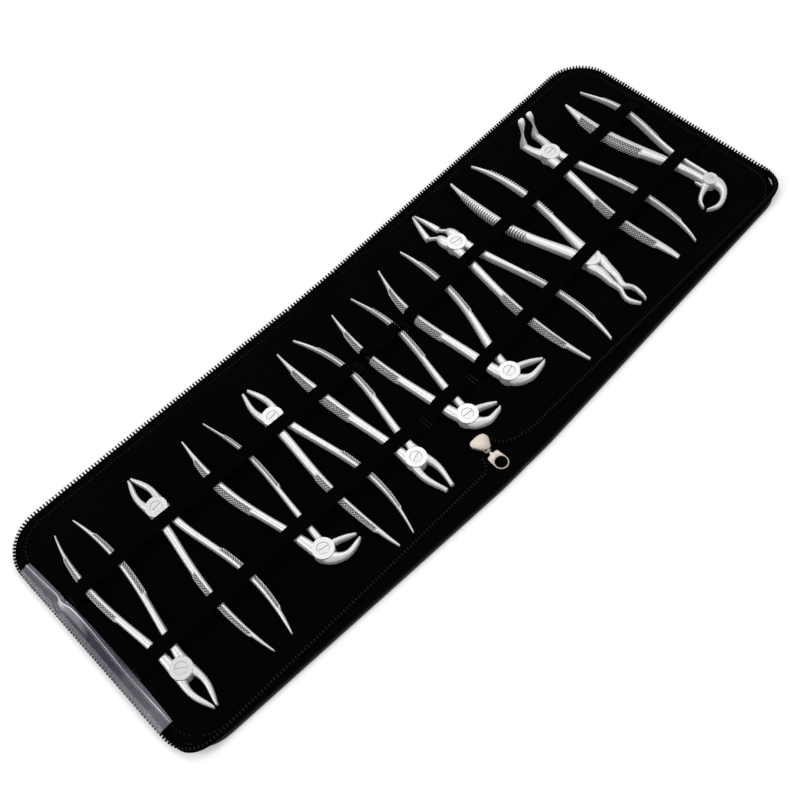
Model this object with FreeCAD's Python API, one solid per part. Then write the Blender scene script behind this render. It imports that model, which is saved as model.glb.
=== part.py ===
"""A set of eleven dental extraction forceps in a zip-round case that lies open and flat.

Millimetres, +Z up. The origin is at the middle of the case's underside: X runs along the
case, Y towards its far long side. Each forceps has a front half, a back half and a pivot
screw. "Front" is the upper half as the forceps lies. Fold lines of the case run along Y.
"""
import FreeCAD, Part
import math
import os
from FreeCAD import Vector

os.makedirs("parts", exist_ok=True)

# ---- case ----
LEFT_PANEL = 281.0          # length of the left panel, end to fold
SPINE_WIDTH = 50.2          # strip between the two folds
RIGHT_PANEL = 307.0         # length of the right panel, fold to end
CASE_WIDTH = 226.0          # cover, across Y, at its two ends
FAR_DIP = 7.0               # at the folds the far edge comes in by this
NEAR_BULGE = 12.0           # and the near edge goes out by this
CORNER_RADIUS = 31.0
FOLD_GAP = 0.4              # open line between a panel and the spine
COVER_THICKNESS = 1.6
BOARD_THICKNESS = 1.4
LINING_THICKNESS = 2.2
BOARD_INSET = 9.0           # board edge inside the cover edge
LINING_INSET = 1.6          # lining edge inside the cover edge

# ---- zip ----
TAPE_THICKNESS = 0.6
TAPE_REACH = 2.6            # stands out past the cover's edge
CHAIN_WIDTH = 2.4
CHAIN_HEIGHT = 1.8
NEAR_TAPE_WIDTH = 6.4       # along the near side the tape is turned in over the lining
NEAR_TAPE_INSET = 4.2       # its middle, from the cover's edge
SLIDER_FROM_FOLD = 13.6      # middle of the slider, from the left fold
SLIDER_FROM_EDGE = 23.5      # and from the cover's near edge
SLIDER_LENGTH = 13.0
SLIDER_WIDTH = 12.5
SLIDER_HEIGHT = 3.2
SLIDER_GAP = 0.4            # slider over the lining, and to the chains' ends
TAB_LENGTH = 18.4
TAB_WIDTH = 11.5
TAB_THICKNESS = 1.2
TAB_HOLE_RADIUS = 4.3
TAB_EYE_RADIUS = 1.5        # the tab's eye turns on the slider's bridge
BRIDGE_RADIUS = 0.7

# ---- elastic straps: Y of a strap's middle at the left end, both folds and the right end ----
STRAP_WIDTH = 11.5
STRAP_THICKNESS = 0.8
STRAP_CLEARANCE = 0.4       # over the instruments
END_SEAM = (5.0, 5.0, 8.0)  # at the right end: bare margin, sewn length, rising length
STRIP_SEAM = (10.2, 4.0, 7.0)   # the same at the left end, clear of the plastic strip
FOLD_SEAM = (0.6, 2.0, 2.6)  # the same at a fold
FAR_STRAP_IN = (75.5, 88.5, 88.5, 77.0)    # its middle from the far edge, at ends and folds
NEAR_STRAP_IN = (75.5, 65.5, 65.5, 84.5)   # the same from the near edge

# ---- clear strip on the left end ----
STRIP_WIDTH = 8.0
STRIP_THICKNESS = 0.6
STRIP_MARGIN = 2.0           # from the cover's left end
STRIP_FROM_NEAR = 33.0       # its ends, from the cover's long edges
STRIP_FROM_FAR = 29.0

# ---- forceps, common ----
REST_GAP = 0.3              # forceps over the lining
JOINT_DEPTH = 9.0           # both laps together
LAP_GAP = 0.1               # between the two laps
LAP_CLEARANCE = 0.4         # round a lap, to the other half's shoulder
BOSS_RADIUS = 8.2
SCREW_RADIUS = 2.4
SCREW_HEAD_RADIUS = 4.7
SCREW_HEAD_DEPTH = 1.6
RIVET_RADIUS = 3.6
RIVET_DEPTH = 1.2
FIT = 0.05                  # running clearance of the screw, on the radius and on each face
SLOT_LENGTH = 8.0
SLOT_WIDTH = 0.9
SLOT_DEPTH = 0.7
SHOULDER_START = 3.0        # limbs begin this far from the pivot
SHOULDER_OFFSET = 4.3
SHOULDER_HALF = 4.0
SHOULDER_SHARE = 0.95       # a shoulder's depth, as a share of the joint's
GRIP_SHARE = 0.933          # depth of the grip along Z, as a share of the joint's
TIP_SHARE = 0.333
ROUNDNESS = 2.7             # exponent of the limb's section: 2 is an ellipse
SECTION_POINTS = 16
HANDLE_SHARES = (0.10, 0.35, 0.62, 0.84, 1.0)   # stations along a handle

CASE_LENGTH = LEFT_PANEL + SPINE_WIDTH + RIGHT_PANEL
LEFT_END = -CASE_LENGTH / 2
LEFT_FOLD = LEFT_END + LEFT_PANEL
RIGHT_FOLD = LEFT_FOLD + SPINE_WIDTH
RIGHT_END = CASE_LENGTH / 2
HALF_WIDTH = CASE_WIDTH / 2
FAR_REACH = HALF_WIDTH + TAPE_REACH + CHAIN_WIDTH / 2   # outermost point of the zip
MIDDLE_SHIFT = (HALF_WIDTH + NEAR_BULGE - FAR_REACH) / 2   # puts the whole in the middle of Y
SLIDER_X = LEFT_FOLD + SLIDER_FROM_FOLD
SLIDER_Y = -HALF_WIDTH + SLIDER_FROM_EDGE
BOARD_Z = COVER_THICKNESS
LINING_Z = BOARD_Z + BOARD_THICKNESS
LINING_TOP = LINING_Z + LINING_THICKNESS
FORCEPS_LOW = LINING_TOP + REST_GAP
FORCEPS_HIGH = FORCEPS_LOW + JOINT_DEPTH
MID_Z = (FORCEPS_LOW + FORCEPS_HIGH) / 2
STRAP_Z = FORCEPS_HIGH + STRAP_CLEARANCE

# Each instrument: pivot X and Y, which way its beaks point (-1 near side, +1 far side), the
# length from pivot to handle tips, then for the left and the right handle (seen with the
# beaks down) the sideways offset and the half width at HANDLE_SHARES, and its beak pattern.
INSTRUMENTS = [
    dict(x=LEFT_FOLD - 246.0, y=-HALF_WIDTH + 52.9, beaks=-1, handle=144.5, pattern="straight",
         left=((-4.1, 3.5), (-7.7, 2.5), (-10.6, 2.4), (-8.4, 1.4), (-3.1, 0.5)),
         right=((5.4, 3.1), (11.8, 2.3), (17.3, 2.2), (17.0, 1.5), (13.6, 0.5)),
         beak=dict(reach=35.0, belly=6.2, tip=1.3, tip_half=0.8)),
    dict(x=LEFT_FOLD - 183.6, y=HALF_WIDTH - 67.6, beaks=1, handle=141.0, pattern="straight",
         left=((-3.8, 3.1), (-8.4, 2.4), (-13.0, 2.2), (-10.8, 1.7), (-5.6, 0.5)),
         right=((5.1, 3.3), (11.0, 2.7), (15.0, 2.4), (14.0, 1.6), (10.7, 0.5)),
         beak=dict(reach=33.7, belly=6.0, tip=1.2, tip_half=0.8)),
    dict(x=LEFT_FOLD - 122.1, y=-HALF_WIDTH + 45.4, beaks=-1, handle=142.0, pattern="hook",
         left=((-5.6, 3.7), (-12.5, 2.8), (-18.5, 3.4), (-17.4, 2.1), (-14.5, 0.7)),
         right=((4.0, 2.5), (8.0, 1.9), (12.0, 1.6), (10.4, 0.9), (6.5, 0.5)),
         beak=dict(inner=(24.3, -7.8), outer=(24.3, -11.6))),
    dict(x=LEFT_FOLD - 76.1, y=HALF_WIDTH - 75.1, beaks=1, handle=142.0, pattern="straight",
         left=((-5.6, 3.0), (-12.0, 2.4), (-16.2, 2.0), (-13.0, 1.2), (-6.5, 0.6)),
         right=((4.4, 3.4), (8.5, 3.0), (10.8, 2.5), (9.6, 1.9), (7.2, 0.6)),
         beak=dict(reach=33.0, belly=6.5, tip=2.4, tip_half=1.1)),
    dict(x=LEFT_FOLD - 27.6, y=-HALF_WIDTH + 47.4, beaks=-1, handle=143.5, pattern="straight",
         left=((-4.1, 3.6), (-7.3, 3.2), (-10.5, 4.0), (-10.6, 2.4), (-9.0, 0.6)),
         right=((5.0, 3.1), (12.3, 2.5), (18.2, 1.7), (15.4, 1.3), (8.0, 0.6)),
         beak=dict(reach=33.5, belly=6.5, tip=2.8, tip_half=1.6)),
    dict(x=LEFT_FOLD + 23.4, y=-HALF_WIDTH + 44.4, beaks=-1, handle=141.0, pattern="hook",
         left=((-6.2, 4.0), (-10.7, 3.1), (-13.5, 2.8), (-11.0, 1.8), (-6.5, 0.6)),
         right=((3.9, 2.8), (10.7, 2.3), (18.0, 1.8), (18.0, 1.1), (14.5, 0.5)),
         beak=dict(inner=(22.8, -8.2), outer=(22.0, -12.2))),
    dict(x=RIGHT_FOLD + 20.7, y=-HALF_WIDTH + 46.4, beaks=-1, handle=142.0, pattern="hook",
         left=((-5.8, 4.0), (-8.8, 3.1), (-11.5, 3.2), (-7.0, 1.9), (0.5, 0.6)),
         right=((4.2, 3.2), (15.7, 2.9), (25.0, 2.0), (27.0, 1.5), (25.5, 0.6)),
         beak=dict(inner=(26.2, -10.0), outer=(26.2, -12.0))),
    dict(x=RIGHT_FOLD + 82.2, y=HALF_WIDTH - 66.1, beaks=1, handle=150.0, pattern="bayonet",
         left=((-5.6, 3.1), (-12.3, 2.1), (-17.5, 1.6), (-17.2, 1.6), (-12.5, 0.8)),
         right=((5.4, 3.6), (11.3, 2.9), (15.3, 2.8), (14.6, 2.0), (11.7, 1.0)),
         beak={}),
    dict(x=RIGHT_FOLD + 140.7, y=-HALF_WIDTH + 69.4, beaks=-1, handle=137.0, pattern="long_shank",
         left=((-5.6, 4.4), (-15.0, 3.6), (-20.3, 3.9), (-19.3, 2.7), (-16.5, 0.9)),
         right=((4.9, 4.1), (11.0, 2.5), (15.3, 2.3), (14.0, 1.8), (8.5, 0.7)),
         beak={}),
    dict(x=RIGHT_FOLD + 202.2, y=HALF_WIDTH - 60.6, beaks=1, handle=146.0, pattern="fork",
         left=((-5.2, 2.9), (-11.7, 1.9), (-15.5, 1.4), (-13.4, 1.3), (-6.5, 0.6)),
         right=((5.4, 3.9), (11.5, 3.0), (17.0, 3.2), (15.7, 3.1), (14.5, 1.8)),
         beak={}),
    dict(x=RIGHT_FOLD + 263.7, y=-HALF_WIDTH + 47.9, beaks=-1, handle=144.0, pattern="cowhorn",
         left=((-2.6, 2.9), (-8.2, 4.2), (-15.2, 5.2), (-14.6, 4.0), (-11.0, 0.8)),
         right=((3.5, 1.5), (5.8, 1.8), (14.0, 1.6), (13.6, 1.2), (8.0, 0.5)),
         beak={}, boss=6.0, screw_head=2.6),
]


# ---------------------------------------------------------------- small helpers

def slab(wire, low, height):
    """A closed flat wire raised into a solid from low."""
    face = Part.Face(wire)
    face.translate(Vector(0, 0, low))
    return face.extrude(Vector(0, 0, height))


def polyline(points):
    """A closed flat wire through points (x, y)."""
    corners = [Vector(x, y, 0) for x, y in points]
    return Part.makePolygon(corners + corners[:1])


def box(x0, x1, y0, y1, z0, z1):
    return Part.makeBox(x1 - x0, y1 - y0, z1 - z0, Vector(x0, y0, z0))


def cylinder(radius, low, high):
    """Upright, on the origin's axis."""
    return Part.makeCylinder(radius, high - low, Vector(0, 0, low))


def signed_power(value, power):
    return math.copysign(abs(value) ** power, value)


def section(centre, normal, half_width, low, high):
    """Upright rounded section of a limb: one closed smooth curve."""
    points = []
    for i in range(SECTION_POINTS):
        angle = 2 * math.pi * i / SECTION_POINTS
        side = half_width * signed_power(math.cos(angle), 2 / ROUNDNESS)
        rise = (high - low) / 2 * signed_power(math.sin(angle), 2 / ROUNDNESS)
        points.append(Vector(centre[0] + normal[0] * side, centre[1] + normal[1] * side,
                             (low + high) / 2 + rise))
    curve = Part.BSplineCurve()
    curve.interpolate(Points=points, PeriodicFlag=True)
    return Part.Wire(curve.toShape())


def limb(stations):
    """A smooth bar through stations (t, s, half width, low, high), seen from above."""
    wires = []
    last = len(stations) - 1
    for i, (t, s, half, low, high) in enumerate(stations):
        before = stations[max(i - 1, 0)]
        after = stations[min(i + 1, last)]
        run = math.hypot(after[0] - before[0], after[1] - before[1])
        normal = ((after[1] - before[1]) / run, -(after[0] - before[0]) / run)
        wires.append(section((t, s), normal, half, low, high))
    return Part.makeLoft(wires, True, False)


def depth(share):
    """(low, high) of a limb whose depth is this share of the shoulder's, on mid height."""
    half = JOINT_DEPTH * SHOULDER_SHARE * share / 2
    return MID_Z - half, MID_Z + half


def tapered(path, shares):
    """Limb stations from a path of (t, s, half width) and the depth's share at each."""
    return [(t, s, half) + depth(share) for (t, s, half), share in zip(path, shares)]


def fuse(shapes):
    whole = shapes[0]
    for shape in shapes[1:]:
        whole = whole.fuse(shape)
    return whole


# ---------------------------------------------------------------- forceps
# A forceps is built with its pivot on the Z axis, handles towards +s (Y) and beaks towards
# -s. The front half holds the left handle and the right beak; the back half the others.

def handle(instrument, side):
    """The left or right handle, from the shoulder at the joint to its tip."""
    length = instrument["handle"]
    sign = -1 if side == "left" else 1
    hooked = instrument["pattern"] == "hook" and side == "right"
    offset = 2.9 if hooked else SHOULDER_OFFSET
    half = 2.5 if hooked else SHOULDER_HALF
    if instrument["pattern"] == "cowhorn":
        offset, half = (-2.3, 2.8) if side == "left" else (3.0, 1.7)
        sign = 1
    start = SHOULDER_START + (1.0 if hooked else 0.0)
    path = [(sign * offset, start, half)]
    for (t, w), share in zip(instrument[side], HANDLE_SHARES):
        path.append((t, length * share, w))
    return limb(tapered(path, (1.0, 1.0, GRIP_SHARE, GRIP_SHARE, 0.72 * GRIP_SHARE,
                               TIP_SHARE)))


def straight_beak(sign, reach, belly, tip, tip_half):
    """Almond-shaped beak: it bellies out past the joint and closes at the tip."""
    path = [
        (sign * SHOULDER_OFFSET, -SHOULDER_START, SHOULDER_HALF),
        (sign * (belly - 0.3), -0.27 * reach, 2.7),
        (sign * belly, -0.48 * reach, 2.2),
        (sign * (belly * 0.45 + tip * 0.55), -0.80 * reach, 1.7),
        (sign * tip, -reach, tip_half),
    ]
    return limb(tapered(path, (1.0, 0.92, 0.80, 0.66, 0.45)))


def hook_beak(kind, inner, outer):
    """Beaks turned square to the handles: the inner one is short, the outer one goes round."""
    if kind == "inner":
        t, s = inner
        path = [(3.0, 0.2, 2.8), (8.6, -0.9, 2.2), (0.60 * t, 0.40 * s, 1.9),
                (0.83 * t, 0.74 * s, 1.5), (t, s, 0.6)]
        return limb(tapered(path, (1.0, 0.9, 0.8, 0.66, 0.42)))
    t, s = outer
    path = [(-3.0, -3.0, 4.4), (0.4, -8.6, 4.4), (4.6, -12.2, 3.2), (9.6, -14.3, 2.3),
            (0.66 * t, -14.0, 1.9), (0.88 * t, s - 1.1, 1.4), (t, s, 0.6)]
    return limb(tapered(path, (1.0, 1.0, 0.92, 0.86, 0.76, 0.60, 0.42)))


def bayonet_beak(sign):
    """A rounded lobe, a thin neck and a long pointed beak set over to one side."""
    if sign > 0:
        lobe = [(4.3, -3.0, 4.0), (5.2, -9.0, 4.2), (5.5, -13.0, 3.4), (6.0, -16.2, 1.3)]
        neck = [(5.8, -14.0, 1.3), (7.6, -17.2, 1.1), (10.2, -19.4, 1.1), (11.9, -22.5, 1.5)]
        beak = [(12.0, -20.4, 2.5), (10.6, -26.0, 2.3), (8.2, -34.0, 1.8), (5.9, -41.0, 1.2),
                (4.2, -46.0, 0.6)]
    else:
        lobe = [(-4.4, -3.0, 4.1), (-5.2, -8.5, 4.4), (-4.8, -13.0, 3.2), (-4.1, -15.8, 1.3)]
        neck = [(-4.4, -13.5, 1.3), (-3.0, -17.0, 1.1), (-1.0, -19.4, 1.1), (-0.4, -22.5, 1.5)]
        beak = [(-0.5, -20.8, 2.4), (0.1, -26.0, 2.2), (1.0, -34.0, 1.6), (1.9, -41.0, 1.0),
                (2.5, -45.6, 0.5)]
    return fuse([limb(tapered(lobe, (1.0, 0.95, 0.85, 0.5))),
                 limb(tapered(neck, (0.45, 0.42, 0.42, 0.45))),
                 limb(tapered(beak, (0.62, 0.66, 0.62, 0.52, 0.36)))])


def long_shank_beak(sign):
    """A long cone down to a narrow neck, then half of a small open ring."""
    if sign > 0:
        path = [(4.5, -3.0, 3.9), (4.2, -11.0, 3.7), (2.0, -21.0, 3.2), (-1.0, -31.0, 2.5),
                (-1.9, -36.0, 2.1), (0.4, -40.0, 1.6), (1.6, -45.0, 1.4), (0.8, -51.0, 1.3),
                (-1.0, -56.0, 0.8)]
    else:
        path = [(-4.5, -3.0, 3.9), (-4.6, -11.0, 3.7), (-5.2, -21.0, 2.9), (-6.2, -31.0, 2.0),
                (-6.6, -36.0, 1.7), (-8.6, -40.0, 1.6), (-10.2, -45.0, 1.6),
                (-9.0, -51.0, 1.6), (-6.2, -56.0, 0.9)]
    return limb(tapered(path, (1.0, 0.98, 0.86, 0.72, 0.66, 0.62, 0.58, 0.52, 0.42)))


def fork_beak(sign):
    """A flat arm of a U, with a claw that stands up from its end and turns in."""
    arm = [(sign * SHOULDER_OFFSET, -SHOULDER_START, SHOULDER_HALF), (sign * 5.9, -9.0, 3.4),
           (sign * 7.0, -14.0, 2.9), (sign * 7.5, -20.0, 2.7), (sign * 7.6, -25.0, 2.6)]
    root_t, root_s = sign * 7.4, -22.6
    claw = [  # along, towards the middle, half width, half depth
        (MID_Z - 1.0, 0.0, 0.0, 2.4, 2.2), (MID_Z + 8.0, 1.6, 0.2, 1.7, 1.6),
        (MID_Z + 17.0, 3.4, 1.2, 1.5, 1.4), (MID_Z + 21.0, 4.6, 2.0, 2.4, 2.3),
        (MID_Z + 25.5, 6.0, 2.6, 2.6, 1.6)]
    wires = []
    for height, away, inward, half_t, half_s in claw:
        points = []
        for i in range(SECTION_POINTS):
            angle = 2 * math.pi * i / SECTION_POINTS
            points.append(Vector(
                root_t - sign * inward + half_t * signed_power(math.cos(angle), 2 / ROUNDNESS),
                root_s - away + half_s * signed_power(math.sin(angle), 2 / ROUNDNESS), height))
        curve = Part.BSplineCurve()
        curve.interpolate(Points=points, PeriodicFlag=True)
        wires.append(Part.Wire(curve.toShape()))
    return fuse([limb(tapered(arm, (1.0, 0.92, 0.80, 0.72, 0.66))),
                 Part.makeLoft(wires, True, False)])


def cowhorn_beak(sign):
    """The front half's large hook, or the back half's small hook with its spur."""
    if sign > 0:
        path = [(-0.6, 2.6, 4.2), (1.6, -1.0, 4.6), (2.4, -7.0, 4.4), (0.2, -12.8, 3.2),
                (-5.0, -17.6, 2.4), (-12.5, -20.4, 1.9), (-19.6, -19.4, 1.4),
                (-25.0, -16.6, 0.6)]
        return limb(tapered(path, (1.0, 1.0, 0.96, 0.84, 0.74, 0.66, 0.56, 0.4)))
    hook = [(-2.5, -0.6, 3.2), (-7.5, -0.9, 3.0), (-13.0, -2.9, 2.0), (-18.6, -5.3, 1.7),
            (-22.6, -9.0, 1.3), (-24.8, -13.2, 0.6)]
    spur = [(-7.2, 0.5, 1.3), (-7.7, 4.5, 1.0), (-8.0, 8.6, 0.4)]
    return fuse([limb(tapered(hook, (0.94, 0.84, 0.72, 0.62, 0.52, 0.4))),
                 limb(tapered(spur, (0.5, 0.4, 0.25)))])


def beak(instrument, sign):
    """The right (+1, front half) or left (-1, back half) beak of an instrument."""
    pattern = instrument["pattern"]
    if pattern == "straight":
        return straight_beak(sign, **instrument["beak"])
    if pattern == "hook":
        return hook_beak("inner" if sign > 0 else "outer", **instrument["beak"])
    makers = {"bayonet": bayonet_beak, "long_shank": long_shank_beak,
              "fork": fork_beak, "cowhorn": cowhorn_beak}
    return makers[pattern](sign)


def forceps_half(instrument, lap, room, limbs, seat_radius, seat):
    """One half: its lap, and its limbs kept out of the room of the other half's lap."""
    shape = lap
    for piece in limbs:
        shape = shape.fuse(piece.cut(room))
    bore = screw_radius(instrument) + FIT
    shape = shape.cut(cylinder(bore, FORCEPS_LOW - 1, FORCEPS_HIGH + 1))
    return shape.cut(cylinder(seat_radius + FIT, *seat))


def front_half(instrument):
    """Left handle, upper lap and right beak, bored for the screw and its sunk head."""
    boss = instrument.get("boss", BOSS_RADIUS)
    head = instrument.get("screw_head", SCREW_HEAD_RADIUS)
    lap_low = MID_Z + LAP_GAP / 2
    return forceps_half(
        instrument, cylinder(boss, lap_low, FORCEPS_HIGH),
        cylinder(boss + LAP_CLEARANCE, FORCEPS_LOW - 1, lap_low),
        [handle(instrument, "left"), beak(instrument, 1)],
        head, (FORCEPS_HIGH - SCREW_HEAD_DEPTH, FORCEPS_HIGH + 1))


def back_half(instrument):
    """Right handle, lower lap and left beak, bored for the screw and its riveted end."""
    boss = instrument.get("boss", BOSS_RADIUS)
    lap_high = MID_Z - LAP_GAP / 2
    return forceps_half(
        instrument, cylinder(boss, FORCEPS_LOW, lap_high),
        cylinder(boss + LAP_CLEARANCE, lap_high, FORCEPS_HIGH + 1),
        [handle(instrument, "right"), beak(instrument, -1)],
        rivet_radius(instrument), (FORCEPS_LOW - 1, FORCEPS_LOW + RIVET_DEPTH))


def screw_radius(instrument):
    head = instrument.get("screw_head", SCREW_HEAD_RADIUS)
    return SCREW_RADIUS * head / SCREW_HEAD_RADIUS


def rivet_radius(instrument):
    head = instrument.get("screw_head", SCREW_HEAD_RADIUS)
    return RIVET_RADIUS * head / SCREW_HEAD_RADIUS


def pivot_screw(instrument):
    """Slotted head flush in the front half, plain shank, riveted end in the back half."""
    head = instrument.get("screw_head", SCREW_HEAD_RADIUS)
    seat = FORCEPS_HIGH - SCREW_HEAD_DEPTH + FIT
    rivet_top = FORCEPS_LOW + RIVET_DEPTH - FIT
    shape = fuse([cylinder(head, seat, FORCEPS_HIGH),
                  cylinder(screw_radius(instrument), FORCEPS_LOW + FIT, seat + FIT),
                  cylinder(rivet_radius(instrument), FORCEPS_LOW + FIT, rivet_top)])
    reach = min(SLOT_LENGTH, 1.7 * head) / 2
    return shape.cut(box(-reach, reach, -SLOT_WIDTH / 2, SLOT_WIDTH / 2,
                         FORCEPS_HIGH - SLOT_DEPTH, FORCEPS_HIGH + 1))


def lay_down(shape, instrument):
    """Turn an instrument so that its beaks point the right way, and put it on its pivot."""
    turn = 0 if instrument["beaks"] < 0 else 180
    placed = shape.copy()
    placed.rotate(Vector(0, 0, 0), Vector(0, 0, 1), turn)
    placed.translate(Vector(instrument["x"], instrument["y"], 0))
    return placed


# ---------------------------------------------------------------- case

def panel_outline(end_x, fold_x, inset=0.0):
    """A panel's outline: square at its fold, rounded at the two corners of its end."""
    way = 1 if end_x > fold_x else -1
    end = end_x - way * inset
    fold = fold_x + way * FOLD_GAP / 2
    half = HALF_WIDTH - inset
    radius = CORNER_RADIUS - inset
    mid = radius * (1 - math.sqrt(0.5))
    edges = [
        Part.makeLine(Vector(fold, -half - NEAR_BULGE, 0), Vector(end - way * radius, -half, 0)),
        Part.Arc(Vector(end - way * radius, -half, 0),
                 Vector(end - way * mid, -half + mid, 0),
                 Vector(end, -half + radius, 0)).toShape(),
        Part.makeLine(Vector(end, -half + radius, 0), Vector(end, half - radius, 0)),
        Part.Arc(Vector(end, half - radius, 0),
                 Vector(end - way * mid, half - mid, 0),
                 Vector(end - way * radius, half, 0)).toShape(),
        Part.makeLine(Vector(end - way * radius, half, 0), Vector(fold, half - FAR_DIP, 0)),
        Part.makeLine(Vector(fold, half - FAR_DIP, 0), Vector(fold, -half - NEAR_BULGE, 0)),
    ]
    return Part.Wire(edges)


def spine_outline(inset=0.0):
    half = HALF_WIDTH - inset
    left = LEFT_FOLD + FOLD_GAP / 2
    right = RIGHT_FOLD - FOLD_GAP / 2
    near, far = -half - NEAR_BULGE, half - FAR_DIP
    return polyline([(left, near), (right, near), (right, far), (left, far)])


def band_round(end_x, fold_x, inner, outer, low, thickness):
    """A band outside a panel, round its far side and its end as far as the near corner."""
    big = slab(panel_outline(end_x, fold_x, -outer), low, thickness)
    small = slab(panel_outline(end_x, fold_x, -inner), low - 1, thickness + 2)
    near_end = -HALF_WIDTH + CORNER_RADIUS
    keep = box(LEFT_END - 50, RIGHT_END + 50, near_end, HALF_WIDTH + 50, low - 1,
               low + thickness + 1)
    return big.cut(small).common(keep)


def ribbon(points, width, low, thickness):
    """A flat strip of constant width along a short open path."""
    pieces = []
    for (x0, y0), (x1, y1) in zip(points, points[1:]):
        run = math.hypot(x1 - x0, y1 - y0)
        nx, ny = -(y1 - y0) / run * width / 2, (x1 - x0) / run * width / 2
        pieces.append(slab(polyline([(x0 + nx, y0 + ny), (x1 + nx, y1 + ny),
                                     (x1 - nx, y1 - ny), (x0 - nx, y0 - ny)]), low, thickness))
    for x, y in points[1:-1]:
        pieces.append(Part.makeCylinder(width / 2, thickness, Vector(x, y, low)))
    return fuse(pieces)


def near_line(end_x, fold_x):
    """The turned-in tape's middle line, from the panel's rounded corner to its fold."""
    way = 1 if end_x > fold_x else -1
    y = -HALF_WIDTH + NEAR_TAPE_INSET
    return [(end_x - way * CORNER_RADIUS, y), (fold_x + way * FOLD_GAP / 2, y)]


def panel_zip(end_x, fold_x):
    """(tape, chain) of one panel: outside its far side and end, turned in on its near side."""
    low = COVER_THICKNESS
    tape = Part.makeCompound([
        band_round(end_x, fold_x, 0.1, TAPE_REACH, low, TAPE_THICKNESS),
        ribbon(near_line(end_x, fold_x), NEAR_TAPE_WIDTH, LINING_TOP, TAPE_THICKNESS)])
    chain = Part.makeCompound([
        band_round(end_x, fold_x, TAPE_REACH - CHAIN_WIDTH / 2, TAPE_REACH + CHAIN_WIDTH / 2,
                   low + TAPE_THICKNESS, CHAIN_HEIGHT),
        ribbon(near_line(end_x, fold_x), CHAIN_WIDTH, LINING_TOP + TAPE_THICKNESS,
               CHAIN_HEIGHT)])
    return tape, chain


def spine_zip():
    """(tape, chain) on the spine: straight on the far side, two bent ends at the slider."""
    y = -HALF_WIDTH + NEAR_TAPE_INSET
    left = LEFT_FOLD + FOLD_GAP / 2
    right = RIGHT_FOLD - FOLD_GAP / 2
    side = SLIDER_WIDTH / 2 + SLIDER_GAP + CHAIN_WIDTH / 2 + 0.6
    left_path = [(left, y), (left + 2.0, y), (SLIDER_X - 10.0, y + 3.6),
                 (SLIDER_X - 8.0, SLIDER_Y - 10.0)]
    right_path = [(right, y), (right - 4.0, y), (SLIDER_X + side + 9.0, y + 5.0),
                  (SLIDER_X + side + 1.5, y + 11.0), (SLIDER_X + side, SLIDER_Y + 2.0)]
    tapes, chains = [], []
    for path in (left_path, right_path):
        tapes.append(ribbon(path, CHAIN_WIDTH + 1.0, LINING_TOP, TAPE_THICKNESS))
        chains.append(ribbon(path, CHAIN_WIDTH, LINING_TOP + TAPE_THICKNESS, CHAIN_HEIGHT))
    edge = HALF_WIDTH - FAR_DIP
    low = COVER_THICKNESS
    tapes.append(box(left, right, edge + 0.1, edge + TAPE_REACH, low, low + TAPE_THICKNESS))
    chains.append(box(left, right, edge + TAPE_REACH - CHAIN_WIDTH / 2,
                      edge + TAPE_REACH + CHAIN_WIDTH / 2,
                      low + TAPE_THICKNESS, low + TAPE_THICKNESS + CHAIN_HEIGHT))
    return Part.makeCompound(tapes), Part.makeCompound(chains)


def zip_slider():
    """Heart-shaped body, wide towards the case's middle, with a bridge for the tab."""
    half, length = SLIDER_WIDTH / 2, SLIDER_LENGTH / 2
    low = LINING_TOP + SLIDER_GAP
    outline = [(-half, length), (half * 0.7, length + 0.6), (half, length * 0.3),
               (half * 0.86, -length * 0.35), (half * 0.25, -length), (-half * 0.25, -length),
               (-half * 0.86, -length * 0.35)]
    body = slab(polyline(outline), low, SLIDER_HEIGHT)
    channel_low = low + 1.0
    for way in (-1, 1):
        body = body.cut(box(min(way * half * 1.2, way * half * 0.35),
                            max(way * half * 1.2, way * half * 0.35),
                            -length * 0.2, length + 2, channel_low, channel_low + 1.2))
    bridge_y, bridge_z = tab_axis()[0] - SLIDER_Y, tab_axis()[1]
    bar = Part.makeCylinder(BRIDGE_RADIUS, 5.0, Vector(-2.5, bridge_y, bridge_z),
                            Vector(1, 0, 0))
    posts = [box(x, x + 1.0, bridge_y - 0.6, -length + 1.2, low, bridge_z + BRIDGE_RADIUS)
             for x in (-2.5, 1.5)]
    shape = fuse([body, bar] + posts)
    shape.translate(Vector(SLIDER_X, SLIDER_Y, 0))
    return shape


def tab_axis():
    """(Y, Z) of the pull tab's hinge, which runs along X."""
    return (SLIDER_Y - SLIDER_LENGTH / 2 - 2.4,
            LINING_TOP + SLIDER_GAP + TAB_EYE_RADIUS)


def zip_pull_tab():
    """Flat tab with a large round hole, and an eye that turns on the slider's bridge."""
    y, z = tab_axis()
    low = z - TAB_EYE_RADIUS
    eye_half = 1.1
    half = TAB_WIDTH / 2
    neck = 3.2
    middle = -TAB_LENGTH + half
    outline = [(-1.1, 0.0), (-1.1, -neck), (-half * 0.72, -neck), (-half, -neck - 1.6),
               (-half, middle), (half, middle), (half, -neck - 1.6),
               (half * 0.72, -neck), (1.1, -neck), (1.1, 0.0)]
    end = Part.makeCylinder(half, TAB_THICKNESS, Vector(0, middle, low))
    plate = slab(polyline(outline), low, TAB_THICKNESS).fuse(end)
    hole = Part.makeCylinder(TAB_HOLE_RADIUS, 10, Vector(0, middle, low - 5))
    eye = Part.makeCylinder(TAB_EYE_RADIUS, 2 * eye_half, Vector(-eye_half, 0, z),
                            Vector(1, 0, 0))
    bore = Part.makeCylinder(BRIDGE_RADIUS + FIT, 20, Vector(-10, 0, z), Vector(1, 0, 0))
    shape = fuse([plate.cut(hole), eye]).cut(bore)
    shape.translate(Vector(SLIDER_X, y, 0))
    return shape


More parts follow.
